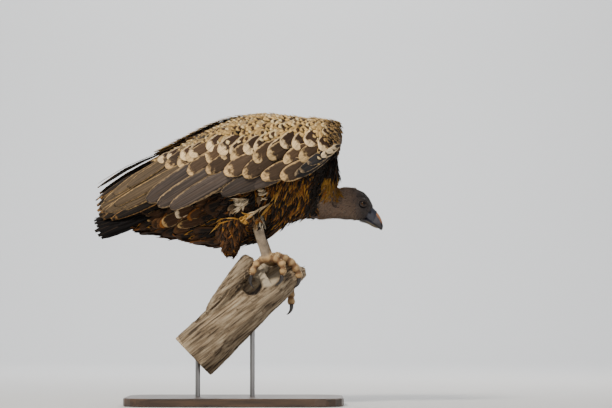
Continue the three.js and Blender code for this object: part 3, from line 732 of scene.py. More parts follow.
def flight_rows(side_name):
    """The primaries, secondaries, tertials and alula of one wing."""
    sheet = WINGS[side_name]
    sign = -SIDES[side_name]
    for name, row in FLIGHT_ROWS.items():
        tip_x, tip_z, lengths, widths, dips = np.array(row["feathers"], float).T
        count = len(tip_x)
        tips = np.array([sheet.beside(x, z) for x, z in zip(tip_x, tip_z)])
        headings = -backward(dips + rng.normal(0, 0.8, count))
        swerve = sign * rng.normal(0.10, 0.03, count)
        layer = (row["base"] + FLIGHT_LAYER * np.arange(count)) * MM
        form = row["form"]
        line = walk_back(sheet, tips * MM, headings, lengths * MM, form.shares, swerve, layer)
        if (side_name, name) == ("left", "primaries"):
            line[0][:, :, 2] += FAR_PRIMARIES_RISE * MM * form.shares**2
        lift = np.full(count, row["lift"] * MM)
        paint = coloured(count, *FLIGHT_PAINT[name], vary=0.2)
        made = vanes(f"{name}_{side_name}", form, line, widths * MM, lift, paint, MATERIALS["flight"],
                     "flight_feathers", sign * 0.05)
        if f"wing_{side_name}_{name}" in nodes:
            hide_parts(f"wing_{side_name}_{name}")


# ---------------------------------------------------------------- tail
TAIL_ENDS = (-0.352, -0.15)  # x at its tip and at the roots of its feathers
TAIL_RIDGE = (0.459, 0.508)  # the ridge's height at each of them
TAIL_HALF_WIDTH = 0.074
TAIL_ARCH = 0.058  # how far its sides fall below the ridge
TAIL_FEATHERS = 14
TAIL_FEATHER_WIDTH = 38 * MM


def tail_height(x, y):
    return np.interp(x, TAIL_ENDS, TAIL_RIDGE) - TAIL_ARCH * (y / TAIL_HALF_WIDTH) ** 2


def tail_sheet():
    steps = 40
    ys = np.linspace(-0.11, 0.11, steps)
    points = [(x, y, tail_height(x, y)) for x in np.linspace(-0.40, -0.10, steps) for y in ys]
    return Sheet(points, grid_triangles(steps, steps))


def tail_feathers():
    """The folded tail, with the middle pair of feathers on top."""
    count = TAIL_FEATHERS
    spread = np.linspace(-1, 1, count)
    spread = spread[np.argsort(-np.abs(spread))]
    tip_x = TAIL_ENDS[0] + 0.010 * spread**2 + rng.uniform(0, 0.008, count)
    tip_y = spread * (TAIL_HALF_WIDTH - 0.008)
    tips = np.stack([tip_x, tip_y, tail_height(tip_x, tip_y)], axis=1)
    roots = np.stack([np.full(count, TAIL_ENDS[1]), spread * 0.040, np.full(count, TAIL_RIDGE[1])], axis=1)
    way = roots - tips
    layer = (1 - np.abs(spread)) * 4 * MM
    line = walk_back(tail_sheet(), tips, unit(way), np.linalg.norm(way, axis=1), QUILL_FORM.shares, off=layer)
    paint = coloured(count, (0.004, 0.003, 0.003), (0.012, 0.009, 0.006), 0.06, 0.0)
    widths, lift = np.full(count, TAIL_FEATHER_WIDTH), np.full(count, 1.5 * MM)
    made = vanes("tail_feathers", QUILL_FORM, line, widths, lift, paint, MATERIALS["tail"],
                 "flight_feathers", 0.08 * np.sign(spread))
    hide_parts("tail")


# ---------------------------------------------------------------- the skin
FLESH = ["head", "neck", "ruff", "trunk"] + [
    f"{part}_{side}" for side in SIDES for part in ("thigh", "tarsus", "foot")
] + [f"wing_{side}_coverts" for side in SIDES]
# How deep the skin lies under the coat in each part, in millimetres.
COAT_DEPTH = {
    "head": 1.2, "neck": 2.5, "ruff": 9, "trunk": 9, "thigh": 10, "tarsus": 0.3, "foot": 0.3, "wing": 7,
}
# The skin's own colour in each part, which the coat above it shares.
SKIN_TONE = {
    "head": (0.030, 0.022, 0.020), "neck": (0.085, 0.052, 0.036), "ruff": (0.050, 0.028, 0.015),
    "trunk": (0.022, 0.012, 0.007), "thigh": (0.045, 0.020, 0.008), "tarsus": (0.37, 0.28, 0.19),
    "foot": (0.52, 0.33, 0.145), "wing": (0.10, 0.06, 0.03),
}
EYE_CENTRE = {side: corners_of(nodes[f"eye_{side}"]).mean(axis=0) for side in SIDES}
EYE_RADIUS = 9.0 * MM
LID_REACH = 11.5 * MM  # no down grows nearer than this to the eye's centre


def nearest_parts(points):
    """Which flesh node each point lies nearest to."""
    corners, faces, owner = [], [], []
    for name in FLESH:
        mesh = nodes[name].data
        start = len(corners)
        corners += [tuple(v.co) for v in mesh.vertices]
        for polygon in mesh.polygons:
            faces.append([start + k for k in polygon.vertices])
            owner.append(name)
    tree = BVHTree.FromPolygons(corners, faces)
    return np.array([owner[tree.find_nearest(p)[2]] for p in points])


def inner_depth(obj, points, outward):
    """How thick the body is straight in from each point."""
    tree = BVHTree.FromPolygons([tuple(p) for p in points], [tuple(p.vertices) for p in obj.data.polygons])
    depths = []
    for point, out in zip(points, outward):
        hit = tree.ray_cast(point - out * 0.4 * MM, -out)[3]
        depths.append(hit if hit else 1.0)
    return np.array(depths)


def smoothed(obj, values, rounds):
    """Values at the corners of a mesh, evened out between neighbours."""
    links = np.array([e.vertices[:] for e in obj.data.edges])
    for _ in range(rounds):
        total, number = values.copy(), np.ones(len(values))
        for a, b in ((0, 1), (1, 0)):
            np.add.at(total, links[:, a], values[links[:, b]])
            np.add.at(number, links[:, a], 1)
        values = total / (number if values.ndim == 1 else number[:, None])
    return values


def hump(distance, width):
    return np.exp(-((distance / width) ** 2))


def noise_at(points, scale, stretch=(1, 1, 1)):
    """Smooth noise between -1 and 1 at each point; scale is in waves per metre."""
    return np.array([noise.noise(Vector(p)) for p in points * (scale * np.array(stretch))])


# The middle line of each toe from knuckle to claw, in millimetres, as in the part's own source.
TOES = {
    "right": [
        [(70, -44, 360), (54, -47, 348), (46, -50, 330), (42, -50, 318)],
        [(86, -50, 362), (112, -58, 358), (122, -60, 338), (118, -58, 318)],
        [(88, -44, 366), (118, -42, 366), (142, -38, 352), (158, -34, 330), (160, -32, 314)],
        [(86, -36, 364), (106, -24, 367), (126, -15, 361), (140, -9, 351)],
    ],
    "left": [
        [(80, 46, 346), (62, 46, 336), (50, 52, 318), (46, 54, 304)],
        [(94, 54, 348), (112, 62, 338), (118, 62, 314), (112, 56, 294)],
        [(98, 50, 348), (122, 58, 338), (138, 60, 308), (139, 54, 274), (141, 47, 248)],
        [(96, 40, 356), (112, 28, 364), (130, 19, 360), (144, 12, 350)],
    ],
}
PERCH_MIDDLE = np.array([60, 0, 270])
SHANKS = {"right": [(62, -58, 446), (80, -46, 376)], "left": [(62, 58, 446), (88, 50, 364)]}
SCUTE_STEP = 4.2


def along_route(points, route):
    """How far each point lies from a route of corners, and how far along the route its nearest place is."""
    best, run, before = np.full(len(points), 1.0), np.zeros(len(points)), 0.0
    for start, end in zip(route[:-1], route[1:]):
        way = end - start
        reach = np.linalg.norm(way)
        share = np.clip(((points - start) @ way) / reach**2, 0, 1)
        away = np.linalg.norm(points - start - share[:, None] * way, axis=1)
        nearer = away < best
        best = np.where(nearer, away, best)
        run = np.where(nearer, before + share * reach, run)
        before += reach
    return best, run


KNUCKLE_PITCH = 19 * MM


def foot_relief(points):
    """How far the skin of the feet stands out: full toes with thick knuckles and narrow waists between."""
    best, run = np.full(len(points), 1.0), np.zeros(len(points))
    for routes in TOES.values():
        for route in routes:
            away, along = along_route(points, np.array(route, float) * MM)
            run = np.where(away < best, along, run)
            best = np.minimum(away, best)
    return 1.7 * MM + 1.1 * MM * np.cos(2 * math.pi * run / KNUCKLE_PITCH) * (best < 0.02)


def foot_painted_shade(relief, outward):
    """Painted shade: the feet are darker and browner in the creases and underneath, where shade falls."""
    crease = np.clip((2.3 * MM - relief) / (1.5 * MM), 0, 1)
    shade_factor = 1 - np.clip(0.65 * crease + 0.6 * np.clip(-outward[:, 2], 0, 1), 0, 0.7)
    return shade_factor[:, None] ** np.array([1.0, 1.25, 1.5])


# On the head, in the side view: the brow's place above the eye, the ear, and the corner of the gape.
BROW = np.array([2, 13]) * MM
EAR = np.array([284, 484]) * MM
GAPE = ((306, 470), (342, 459))


def head_relief(points):
    """How far the skin of the head and neck rises or falls: sockets, brows, ear, gape and neck folds."""
    rise = np.zeros(len(points))
    gape_x, gape_z = np.array(GAPE, float).T / 1000
    for side, sign in SIDES.items():
        near = points[:, 1] * sign > 0
        eye = EYE_CENTRE[side]
        from_eye = np.linalg.norm(points - eye, axis=1)
        rise -= near * 2.6 * MM * hump(from_eye, 8 * MM)
        rise += near * 1.5 * MM * hump(from_eye - 12.5 * MM, 2.2 * MM)
        brow = np.linalg.norm((points - eye)[:, [0, 2]] - BROW, axis=1)
        rise += near * 2.2 * MM * hump(brow, 7 * MM)
        ear = np.linalg.norm(points[:, [0, 2]] - EAR, axis=1)
        rise -= near * 2.5 * MM * hump(ear, 4 * MM)
        gape = np.abs(points[:, 2] - np.interp(points[:, 0], gape_x, gape_z))
        fold = np.clip((points[:, 0] - 0.300) / 0.004, 0, 1) * np.clip((0.318 - points[:, 0]) / 0.006, 0, 1)
        rise -= near * 1.2 * MM * hump(gape, 1.6 * MM) * fold
    low = np.clip((0.512 - points[:, 2]) / 0.02, 0, 1) * np.clip((0.292 - points[:, 0]) / 0.02, 0, 1)
    folds = np.abs(noise_at(points, 95, (0.7, 1.0, 1.3)))
    rise -= low * 1.8 * MM * hump(folds, 0.12)
    return rise


def make_skin():
    """One skin over all the flesh nodes, inside them by the coat's depth, with each corner's kind of part."""
    skin = copy_of("skin", FLESH)
    apply_modifier(skin, "REMESH", mode="VOXEL", voxel_size=2.4 * MM)
    apply_modifier(skin, "SMOOTH", factor=0.5, iterations=5)
    points, outward = corners_of(skin), normals_of(skin)
    parts = nearest_parts(points)
    kinds = np.array([name.split("_")[0] for name in parts])
    depth = np.array([COAT_DEPTH[kind] for kind in kinds]) * MM
    depth = smoothed(skin, np.minimum(depth, 0.33 * inner_depth(skin, points, outward)), 12)
    points = points - outward * depth[:, None]
    bare = np.isin(kinds, ["head", "neck"])
    points[bare] += outward[bare] * head_relief(points[bare])[:, None]
    feet = kinds == "foot"
    relief = foot_relief(points[feet])
    points[feet] += outward[feet] * relief[:, None]
    move_corners(skin, points)
    tone = smoothed(skin, np.array([SKIN_TONE[kind] for kind in kinds]), 8)
    # Painted shade on the feet, in the creases and underneath.
    tone[feet] *= foot_painted_shade(relief, outward[feet])
    add_colour(skin, "markings", tone)
    scaly = smoothed(skin, np.isin(kinds, ["foot", "tarsus"]).astype(float), 4)
    add_colour(skin, "scaly", np.repeat(scaly[:, None], 3, axis=1))
    unwrap(skin)
    skin.data.shade_smooth()
    return skin, kinds


def unwrap(obj):
    make_active(obj)
    bpy.ops.object.mode_set(mode="EDIT")
    bpy.ops.mesh.select_all(action="SELECT")
    bpy.ops.uv.smart_project(angle_limit=math.radians(70), island_margin=0.002)
    bpy.ops.object.mode_set(mode="OBJECT")


def skin_material():
    """Bare skin: pale scaly reticulation on the feet and uneven patches of tone everywhere, in the coat's own
    colours.
    """
    material, tree, shader = new_material("skin", 0.62)
    tone = add(tree, "ShaderNodeAttribute", {"attribute_name": "markings"}).outputs["Color"]
    place = object_place(tree)
    scales = add(tree, "ShaderNodeTexVoronoi", {"feature": "DISTANCE_TO_EDGE"}, Vector=place, Scale=500.0)
    groove = step_between(tree, scales.outputs["Distance"], 0.0, 0.16)
    scaly = add(tree, "ShaderNodeAttribute", {"attribute_name": "scaly"}).outputs["Fac"]
    groove = math_node(tree, "MAXIMUM", groove, math_node(tree, "SUBTRACT", 1.0, scaly))
    patches = add(tree, "ShaderNodeTexNoise", Vector=place, Scale=70.0, Detail=4.0).outputs["Fac"]
    light = math_node(tree, "MULTIPLY_ADD", patches, 1.5, 0.22)
    light = math_node(tree, "MULTIPLY", light, math_node(tree, "MULTIPLY_ADD", groove, 0.28, 0.72))
    tree.links.new(shaded(tree, tone, light), shader.inputs["Base Color"])
    bump(tree, shader, groove, 0.45, 0.4 * MM)
    return material


# ---------------------------------------------------------------- body feathers and down
class Skin(Sheet):
    """The skin as a sheet, with each face's part, area and place on the skin's own unwrap."""

    def __init__(self, obj, kinds):
        points = corners_of(obj)
        polygons = obj.data.polygons
        faces = [tuple(p.vertices) for p in polygons]
        super().__init__(points, faces)
        first = np.array([face[0] for face in faces])
        self.kinds = kinds[first]
        self.centres = np.array([p.center[:] for p in polygons])
        self.areas = np.array([p.area for p in polygons])
        self.normals = np.array([p.normal[:] for p in polygons])
        flat = np.empty(len(obj.data.loops) * 2)
        obj.data.uv_layers.active.data.foreach_get("uv", flat)
        starts = np.array([p.loop_start for p in polygons])
        self.unwrapped = flat.reshape(-1, 2)[starts]

    def roots(self, kinds, spacing, inside=None, underside=False):
        """Places about a given distance apart on some parts of the skin, or on the sides of them that face
        in or down."""
        usable = np.isin(self.kinds, kinds)
        if underside:
            usable &= (self.normals[:, 1] * np.sign(self.centres[:, 1]) < -0.2) | (self.normals[:, 2] < -0.3)
        if inside is not None:
            usable &= inside(self.centres)
        members = np.flatnonzero(usable)
        count = int(self.areas[members].sum() / spacing**2 * 3.0)
        chosen = rng.choice(members, size=count, p=self.areas[members] / self.areas[members].sum())
        points = self.centres[chosen] + rng.normal(0, 0.8 * MM, (count, 3))
        tree = KDTree(count)
        for i, point in enumerate(points):
            tree.insert(point, i)
        tree.balance()
        blocked = np.zeros(count, bool)
        kept = []
        for i, point in enumerate(points):
            if not blocked[i]:
                kept.append(i)
                for _, j, _ in tree.find_range(point, 0.82 * spacing):
                    blocked[j] = True
        return points[kept]

    def patches(self, roots):
        """The corner of each root's patch on the unwrap."""
        faces = [self.tree.find_nearest(root)[2] for root in roots]
        return np.clip(self.unwrapped[faces], PATCH, 1 - PATCH) - PATCH / 2


def tufts(name, form, roots, headings, length, width, lift, paint, material, slot, swerve=0.25, vary=0.15,
          off=0.0, clear=0.0):
    """A coat piece that grows out of the skin at its roots. Those that would cross a shank, within the
    distance clear in millimetres, are left out."""
    count = len(roots)
    lengths = length * MM * rng.normal(1, vary, count)
    widths = width * MM * rng.normal(1, vary, count)
    points, outward, along = walk(SKIN, roots, headings, lengths, form.shares, rng.normal(0, swerve, count))
    points = points + outward * off * MM
    keep = np.ones(count, bool)
    for route in SHANKS.values():
        away = along_route(points.reshape(-1, 3), np.array(route, float) * MM)[0].reshape(count, -1)
        keep &= away.min(axis=1) >= clear * MM
    line = (points[keep], outward[keep], along[keep])
    paint = {key: value[keep] for key, value in paint.items()}
    lifts = lift * MM * np.abs(rng.normal(1, 0.4, keep.sum()))
    lean = rng.normal(0, 0.06, keep.sum())
    return vanes(name, form, line, widths[keep], lifts, paint, material, slot, lean,
                 patches=SKIN.patches(roots[keep]))


def chosen_colours(count, choices, vary=0.2):
    """One colour for each feather, out of weighted choices of a dark middle and a bright fringe."""
    weights = np.array([weight for weight, _, _ in choices])
    pick = rng.choice(len(choices), size=count, p=weights / weights.sum())
    centre = np.array([dark for _, dark, _ in choices])[pick]
    fringe = np.array([bright for _, _, bright in choices])[pick]
    return coloured(count, centre, fringe, 0.34, 0.16, vary)


BLACK = (0.010, 0.007, 0.005)
UMBER = (0.044, 0.020, 0.008)
BROWN = (0.095, 0.042, 0.014)
RUST = (0.19, 0.065, 0.010)
GOLD = (0.40, 0.18, 0.026)
OCHRE = (0.25, 0.125, 0.020)
DOWN = (0.32, 0.20, 0.13)


def mix_by(share, first, second):
    """Picks the second paint's feathers with a chance that is given for each root."""
    take = rng.random(len(share)) < share
    mixed = {}
    for key in first:
        taken = take[:, None] if first[key].ndim > 1 else take
        mixed[key] = np.where(taken, second[key], first[key])
    return mixed


def outside_wings(p):
    """The trunk's places that neither the wings nor the ruff hide."""
    covered = (p[:, 2] > WING_FOOT(p[:, 0] / MM) * MM + 0.03) & (np.abs(p[:, 1]) > 0.05)
    hidden = covered & (p[:, 0] < 0.245)
    under_ruff = (p[:, 0] > 0.205) & (np.abs(p[:, 2] - 0.535) < 0.05)
    return ~(hidden | under_ruff)


def body_coat():
    """The ragged feathers of breast, flank, belly and back, with gold and rust streaks over black."""
    roots = SKIN.roots(["trunk"], 8.5 * MM, outside_wings)
    thighs = SKIN.roots(["thigh"], 9.5 * MM, lambda p: p[:, 2] > 0.478)
    roots = np.concatenate([roots, thighs])
    x, z = roots[:, 0], roots[:, 2]
    flank = np.clip((x - 0.05) / 0.03, 0, 1) * np.clip((z - 0.455) / 0.03, 0, 1)
    flank = flank * np.clip((0.215 - x) / 0.02, 0, 1)
    twice = flank > 0.3  # the flank's feathers are narrower, and there are twice as many
    roots = np.concatenate([roots, roots[twice] + rng.normal(0, 4 * MM, (twice.sum(), 3))])
    flank = np.append(flank, flank[twice])
    x = roots[:, 0]
    count = len(roots)
    dip = 24 + 46 * flank + rng.normal(0, 7, count)
    headings = backward(dip)
    headings[:, 1] = rng.normal(0, 0.12, count)
    dark = chosen_colours(count, [(6, BLACK, BLACK), (4, BLACK, UMBER), (2, UMBER, BROWN)])
    rear = chosen_colours(count, [(4, BLACK, UMBER), (3, UMBER, BROWN), (2, UMBER, RUST), (1, BLACK, GOLD)])
    bright = chosen_colours(count, [
        (3, RUST, GOLD), (3, UMBER, GOLD), (1, GOLD, GOLD), (3, BLACK, RUST), (3, BLACK, UMBER),
    ])
    paint = mix_by(0.8 * np.clip((0.06 - x) / 0.05, 0, 1), dark, rear)
    streaks = 0.40 * np.clip((x - 0.02) / 0.05, 0, 1) * np.clip((0.22 - x) / 0.04, 0, 1)
    paint = mix_by(np.maximum(0.88 * flank, streaks), paint, bright)
    tufts("body_feathers", LANCE_FORM, roots, headings, 46 - 8 * flank, 15 - 6.5 * flank, 7, paint,
          MATERIALS["body"], "body_feathers", 0.15, clear=13)


def belly_coat():
    """Larger, rounder feathers under the belly and the tail."""
    roots = SKIN.roots(["trunk"], 19.0 * MM, lambda p: (p[:, 0] < 0.02) & (p[:, 2] < 0.50))
    count = len(roots)
    paint = chosen_colours(count, [(5, BLACK, UMBER), (3, UMBER, BROWN), (1, UMBER, RUST)])
    headings = backward(18 + rng.normal(0, 6, count))
    tufts("belly_feathers", COVERT_FORM, roots, headings, 66, 30, 9, paint, MATERIALS["body"],
          "body_feathers", clear=16)


def ruff_coat():
    """Loose ochre feathers at the foot of the neck, painted black above as shade under the wing."""
    def on_ruff(p):
        return (p[:, 0] > 0.195) & ((p[:, 2] > 0.526) | (p[:, 0] < 0.214))

    roots = SKIN.roots(["ruff", "trunk"], 5.5 * MM, on_ruff)
    x, y, z = roots.T
    count = len(roots)
    headings = np.stack([np.full(count, -0.35), np.sign(y) * 0.1, -np.ones(count)], axis=1)
    headings = headings + rng.normal(0, 0.1, (count, 3))
    ochre = chosen_colours(count, [(4, OCHRE, GOLD), (2, OCHRE, OCHRE), (1, RUST, OCHRE)], 0.15)
    # Painted shade: the feathers above and behind the ochre patch, under the front of the wing, are black.
    dark = chosen_colours(count, [(4, BLACK, BLACK), (1, BLACK, UMBER)])
    share = np.clip((0.582 - z) / 0.008, 0, 1) * np.clip((x - 0.215) / 0.012, 0, 1)
    tufts("ruff_feathers", LANCE_FORM, roots, headings, 30, 8, 5, mix_by(share, dark, ochre),
          MATERIALS["body"], "ruff_down", 0.15)


def neck_down():
    """Short soft down over the neck, with painted shade underneath that turns it rusty black."""
    roots = SKIN.roots(["neck", "ruff", "trunk"], 2.5 * MM, lambda p: (p[:, 0] > 0.214) & (p[:, 2] < 0.545))
    count = len(roots)
    headings = np.array([-1, 0, -0.25]) + rng.normal(0, 0.25, (count, 3))
    paint = coloured(count, DOWN, (0.27, 0.19, 0.13), 0.3, 0.3, 0.2)
    # Painted shade: the down low on the neck is painted rusty black.
    under = np.clip((0.485 - roots[:, 2]) / 0.03, 0, 1)
    paint["centre"] = blend_between(paint["centre"], (0.055, 0.026, 0.012), under)
    paint["fringe"] = blend_between(paint["fringe"], (0.11, 0.045, 0.012), under)
    tufts("neck_down", LOCK_FORM, roots, headings, 11, 1.7, 3.0, paint, MATERIALS["down"], "head_down", 0.5)


def head_down():
    """Down that is thick and soft over the crown, and short, thin and dark on the face, with painted shade
    low on the head.
    """
    roots = SKIN.roots(["head"], 1.8 * MM, lambda p: p[:, 0] < 0.337)
    clear = np.ones(len(roots), bool)
    for side in SIDES:
        clear &= np.linalg.norm(roots - EYE_CENTRE[side], axis=1) > LID_REACH
    roots = roots[clear]
    count = len(roots)
    face = np.clip((roots[:, 0] - 0.285) / 0.035, 0, 1)
    headings = np.array([-1, 0, -0.3]) + rng.normal(0, 0.2, (count, 3))
    paint = coloured(count, DOWN, (0.30, 0.21, 0.145), 0.3, 0.3, 0.2)
    # Darker on the face, which is its own colour, and painted shade low on the head.
    dark_face_and_shade = np.clip(np.maximum(face, 0.6 * (0.482 - roots[:, 2]) / 0.02), 0, 1)
    paint["centre"] = blend_between(paint["centre"], (0.028, 0.020, 0.017), dark_face_and_shade)
    paint["fringe"] = blend_between(paint["fringe"], (0.055, 0.036, 0.026), dark_face_and_shade)
    for name, take, length, width, lift in (
        ("crown_down", face < 0.6, 7.5, 1.25, 3.0), ("face_down", face >= 0.6, 3.2, 0.95, 0.6),
    ):
        part = {key: value[take] for key, value in paint.items()}
        tufts(name, LOCK_FORM, roots[take], headings[take], length, width, lift, part, MATERIALS["down"],
              "head_down", 0.4)


def underwing_coverts():
    """Dark brown coverts on the inner and lower sides of the wings."""
    roots = SKIN.roots(["wing"], 11.0 * MM, underside=True)
    count = len(roots)
    paint = coloured(count, (0.045, 0.030, 0.019), (0.13, 0.085, 0.048), 0.16, 0.12, 0.25)
    headings = backward(16 + rng.normal(0, 6, count))
    tufts("underwing_coverts", SMALL_COVERT_FORM, roots, headings, 34, 20, 4, paint, MATERIALS["covert"],
          "covert_feathers", 0.1)


def thigh_locks():
    """Trousers: loose locks that hang from the thighs, in fans of three."""
    roots = SKIN.roots(["thigh"], 9.0 * MM, lambda p: p[:, 2] < 0.475)
    roots = np.repeat(roots, 3, axis=0)
    count = len(roots)
    headings = np.tile([-0.25, 0.0, -1.0], (count, 1)) + rng.normal(0, 0.2, (count, 3))
    paint = chosen_colours(count, [(4, UMBER, BROWN), (3, BROWN, RUST), (1, RUST, GOLD), (2, BLACK, UMBER)])
    tufts("thigh_locks", LANCE_FORM, roots, headings, 40, 10, 9, paint, MATERIALS["body"],
          "body_feathers", 0.3, clear=14)


# Single feathers and small fans of down that stand out from the flank, the ankles and under the tail. Each
# row gives the root's place in the side view (x, z), the heading's dip, the length and the width, in
# millimetres and degrees. locks is how many narrow locks each row makes, fan how far they spread, and off how
# far they start above the skin.
LOOSE_FEATHERS = {
    "pale_down": dict(
        locks=7, fan=14, off=8, lift=4, form=LANCE_FORM,
        paint=((0.36, 0.26, 0.15), (0.74, 0.58, 0.37), 0.5, 0.5),
        rows=[(78, 527, 44, 22, 7), (32, 505, 24, 34, 8), (22, 498, 34, 26, 7)]),
    "brown_down": dict(
        locks=7, fan=14, off=7, lift=4, form=LANCE_FORM,
        paint=((0.15, 0.095, 0.05), (0.26, 0.17, 0.09), 0.3, 0.3),
        rows=[(10, 494, 34, 28, 11), (4, 486, 30, 24, 10), (66, 512, 50, 22, 8)]),
    "pale_strands": dict(
        locks=2, fan=5, off=10, lift=4, form=LANCE_FORM,
        paint=((0.50, 0.36, 0.20), (0.70, 0.54, 0.33), 0.4, 0.3),
        rows=[(84, 516, 12, 28, 4), (86, 498, 26, 52, 4), (68, 489, 30, 44, 4), (50, 482, 22, 38, 4)]),
    "golden_strands": dict(
        locks=1, fan=2, off=10, lift=4, form=LANCE_FORM,
        paint=(GOLD, (0.56, 0.31, 0.07), 0.3, 0.3),
        rows=[(16, 462, 4, 44, 4), (-20, 461, 14, 30, 4), (-26, 456, 22, 44, 4), (-4, 458, 20, 56, 3),
              (108, 530, 66, 34, 6), (104, 526, 60, 30, 5), (94, 502, 52, 34, 6), (86, 488, 44, 34, 5)]),
    "heel_tufts": dict(
        locks=7, fan=18, off=7, lift=4, form=LANCE_FORM,
        paint=((0.34, 0.16, 0.025), (0.60, 0.32, 0.07), 0.35, 0.3),
        rows=[(40, 468, 16, 20, 8), (36, 463, 6, 20, 8), (32, 462, 40, 14, 7), (40, 472, 50, 14, 7)]),
    "ankle_down": dict(
        locks=9, fan=9, off=4, lift=1.5, form=LANCE_FORM,
        paint=((0.20, 0.12, 0.05), (0.34, 0.22, 0.10), 0.3, 0.3),
        rows=[(48, 466, 74, 15, 5), (50, 455, 74, 14, 5), (56, 446, 76, 12, 4)]),
    "ankle_pale": dict(
        locks=9, fan=6, off=4, lift=1.5, form=LANCE_FORM,
        paint=((0.32, 0.26, 0.18), (0.44, 0.38, 0.29), 0.3, 0.3),
        rows=[(64, 468, 80, 16, 5), (66, 457, 84, 14, 5), (69, 447, 84, 12, 4)]),
    "buff_edged": dict(
        locks=1, fan=0, off=8, lift=9, form=COVERT_FORM,
        paint=(UMBER, (0.42, 0.26, 0.10), 0.10, 0.10),
        rows=[(-122, 474, 22, 62, 30), (-170, 480, 24, 62, 30), (-64, 462, 18, 60, 28)]),
    "white_tipped": dict(
        locks=1, fan=0, off=10, lift=9, form=COVERT_FORM,
        paint=(UMBER, (0.66, 0.50, 0.31), 0.14, 0.22),
        rows=[(-94, 490, 24, 62, 32)]),
}


def loose_feathers():
    """Each row of the table as one feather, or as a fan of narrow locks where it is downy."""
    for name, kind in LOOSE_FEATHERS.items():
        locks = kind["locks"]
        for side, sign in SIDES.items():
            x, z, dip, length, width = np.repeat(np.array(kind["rows"], float), locks, axis=0).T
            count = len(x)
            spread = 0.0 if locks == 1 else 1.0
            x = x + spread * rng.normal(0, 3.5, count)
            z = z + spread * rng.normal(0, 3.5, count)
            dip = dip + rng.normal(0, 1 + kind["fan"], count)
            length = length * (1 - spread * rng.uniform(0, 0.35, count))
            starts = np.stack([x, np.full(count, sign * 160.0), z], axis=1) * MM
            roots = np.array([SKIN.tree.ray_cast(start, (0, -sign, 0))[0] for start in starts])
            off = kind["off"] + spread * rng.uniform(-2, 3, (count, 1, 1))
            paint = coloured(count, *kind["paint"])
            tufts(f"{name}_{side}", kind["form"], roots, backward(dip), length, width, kind["lift"], paint,
                  MATERIALS["body"], "body_feathers", 0.04 + 0.4 * spread, off=off)


# ---------------------------------------------------------------- eyes and bill
def eye_material():
    """A dark eye: black pupil, dark amber iris with fine rays, brown-black rim, and a wet surface."""
    material, tree, shader = new_material("eye", 0.05, Coat_Weight=0.1, Coat_Roughness=0.03)
    shader.inputs["Specular IOR Level"].default_value = 0.2
    gaze = add(tree, "ShaderNodeAttribute", {"attribute_name": "gaze"}).outputs["Fac"]
    rays = add(tree, "ShaderNodeTexNoise", Vector=object_place(tree), Scale=1400.0, Detail=1.0).outputs["Fac"]
    uneven = math_node(tree, "MULTIPLY_ADD", rays, 0.06, -0.03)
    ring = colour_ramp(tree, math_node(tree, "ADD", gaze, uneven), [
        (0.0, (0.002, 0.002, 0.002)), (0.34, (0.002, 0.002, 0.002)), (0.38, (0.055, 0.025, 0.009)),
        (0.58, (0.085, 0.038, 0.012)), (0.66, (0.012, 0.008, 0.006)), (1.0, (0.02, 0.015, 0.012)),
    ])
    tree.links.new(ring, shader.inputs["Base Color"])
    return material


def eyes():
    """Each eyeball bulges a little at the cornea, and looks ahead and outwards."""
    for side, sign in SIDES.items():
        centre = EYE_CENTRE[side]
        axis = unit(np.array([0.42, sign, 0.12]))
        deselect()
        bpy.ops.mesh.primitive_uv_sphere_add(segments=48, ring_count=32, radius=EYE_RADIUS)
        eye = bpy.context.object
        eye.name = f"eye_{side}_ball"
        points = corners_of(eye)
        towards = unit(points) @ axis
        bulge = 0.7 * MM * np.clip((towards - 0.72) / 0.28, 0, 1) ** 0.5
        move_corners(eye, points + axis * bulge[:, None] + centre)
        gaze = np.arccos(np.clip(towards, -1, 1)) / math.radians(75)
        add_colour(eye, "gaze", np.repeat(np.clip(gaze, 0, 1)[:, None], 3, axis=1))
        eye.data.shade_smooth()
        settle(eye, MATERIALS["eye"], "eye", f"eye_{side}")
        lids(side, centre, axis)


def lid_material():
    material, _, shader = new_material("lid skin", 0.7)
    shader.inputs["Base Color"].default_value = (0.040, 0.030, 0.027, 1)
    return material


LID_RADIUS = 7.4 * MM
LID_THICKNESS = 1.15 * MM


def lids(side, centre, axis):
    """Upper and lower lid as one ring with fine wrinkles, narrower than it is long, pulled over the ball."""
    deselect()
    bpy.ops.mesh.primitive_torus_add(major_radius=LID_RADIUS, minor_radius=LID_THICKNESS, major_segments=96,
                                     minor_segments=14)
    lid = bpy.context.object
    lid.name = f"lids_{side}"
    points = corners_of(lid)
    turn = np.arctan2(points[:, 1], points[:, 0])
    ring = unit(points * [1, 1, 0]) * LID_RADIUS
    from_ring = points - ring
    along = unit(np.cross([0, 0, 1.0], axis))
    up = np.cross(axis, along)
    round_ring = np.arctan2(points[:, 2], np.linalg.norm(points[:, :2], axis=1) - LID_RADIUS)
    fold = 1 + 0.22 * np.sin(3 * round_ring)
    points = ring + from_ring * fold[:, None]
    flat = points[:, 0] * 1.16
    tall = points[:, 1] * (0.84 - 0.10 * np.sin(turn))
    outer = np.clip(np.linalg.norm(points[:, :2], axis=1) / LID_RADIUS - 1, 0, 0.2)
    depth = points[:, 2] * 1.9 + 5.1 * MM - 1.3 * MM * np.cos(2 * turn) - 12 * MM * outer
    move_corners(lid, centre + flat[:, None] * along + tall[:, None] * up + depth[:, None] * axis)
    make_normals_face_out(lid)
    lid.data.shade_smooth()
    settle(lid, MATERIALS["lid"], "head_down")


def make_normals_face_out(obj):
    make_active(obj)
    bpy.ops.object.mode_set(mode="EDIT")
    bpy.ops.mesh.select_all(action="SELECT")
    bpy.ops.mesh.normals_make_consistent(inside=False)
    bpy.ops.object.mode_set(mode="OBJECT")


NOSTRIL = np.array([339, 12, 478]) * MM
HOOK_END = 0.4350  # below this height the hook is drawn in
CERE_EDGE = 0.184  # x - CERE_SLANT * z along the edge of the cere
CERE_SLANT = 0.35


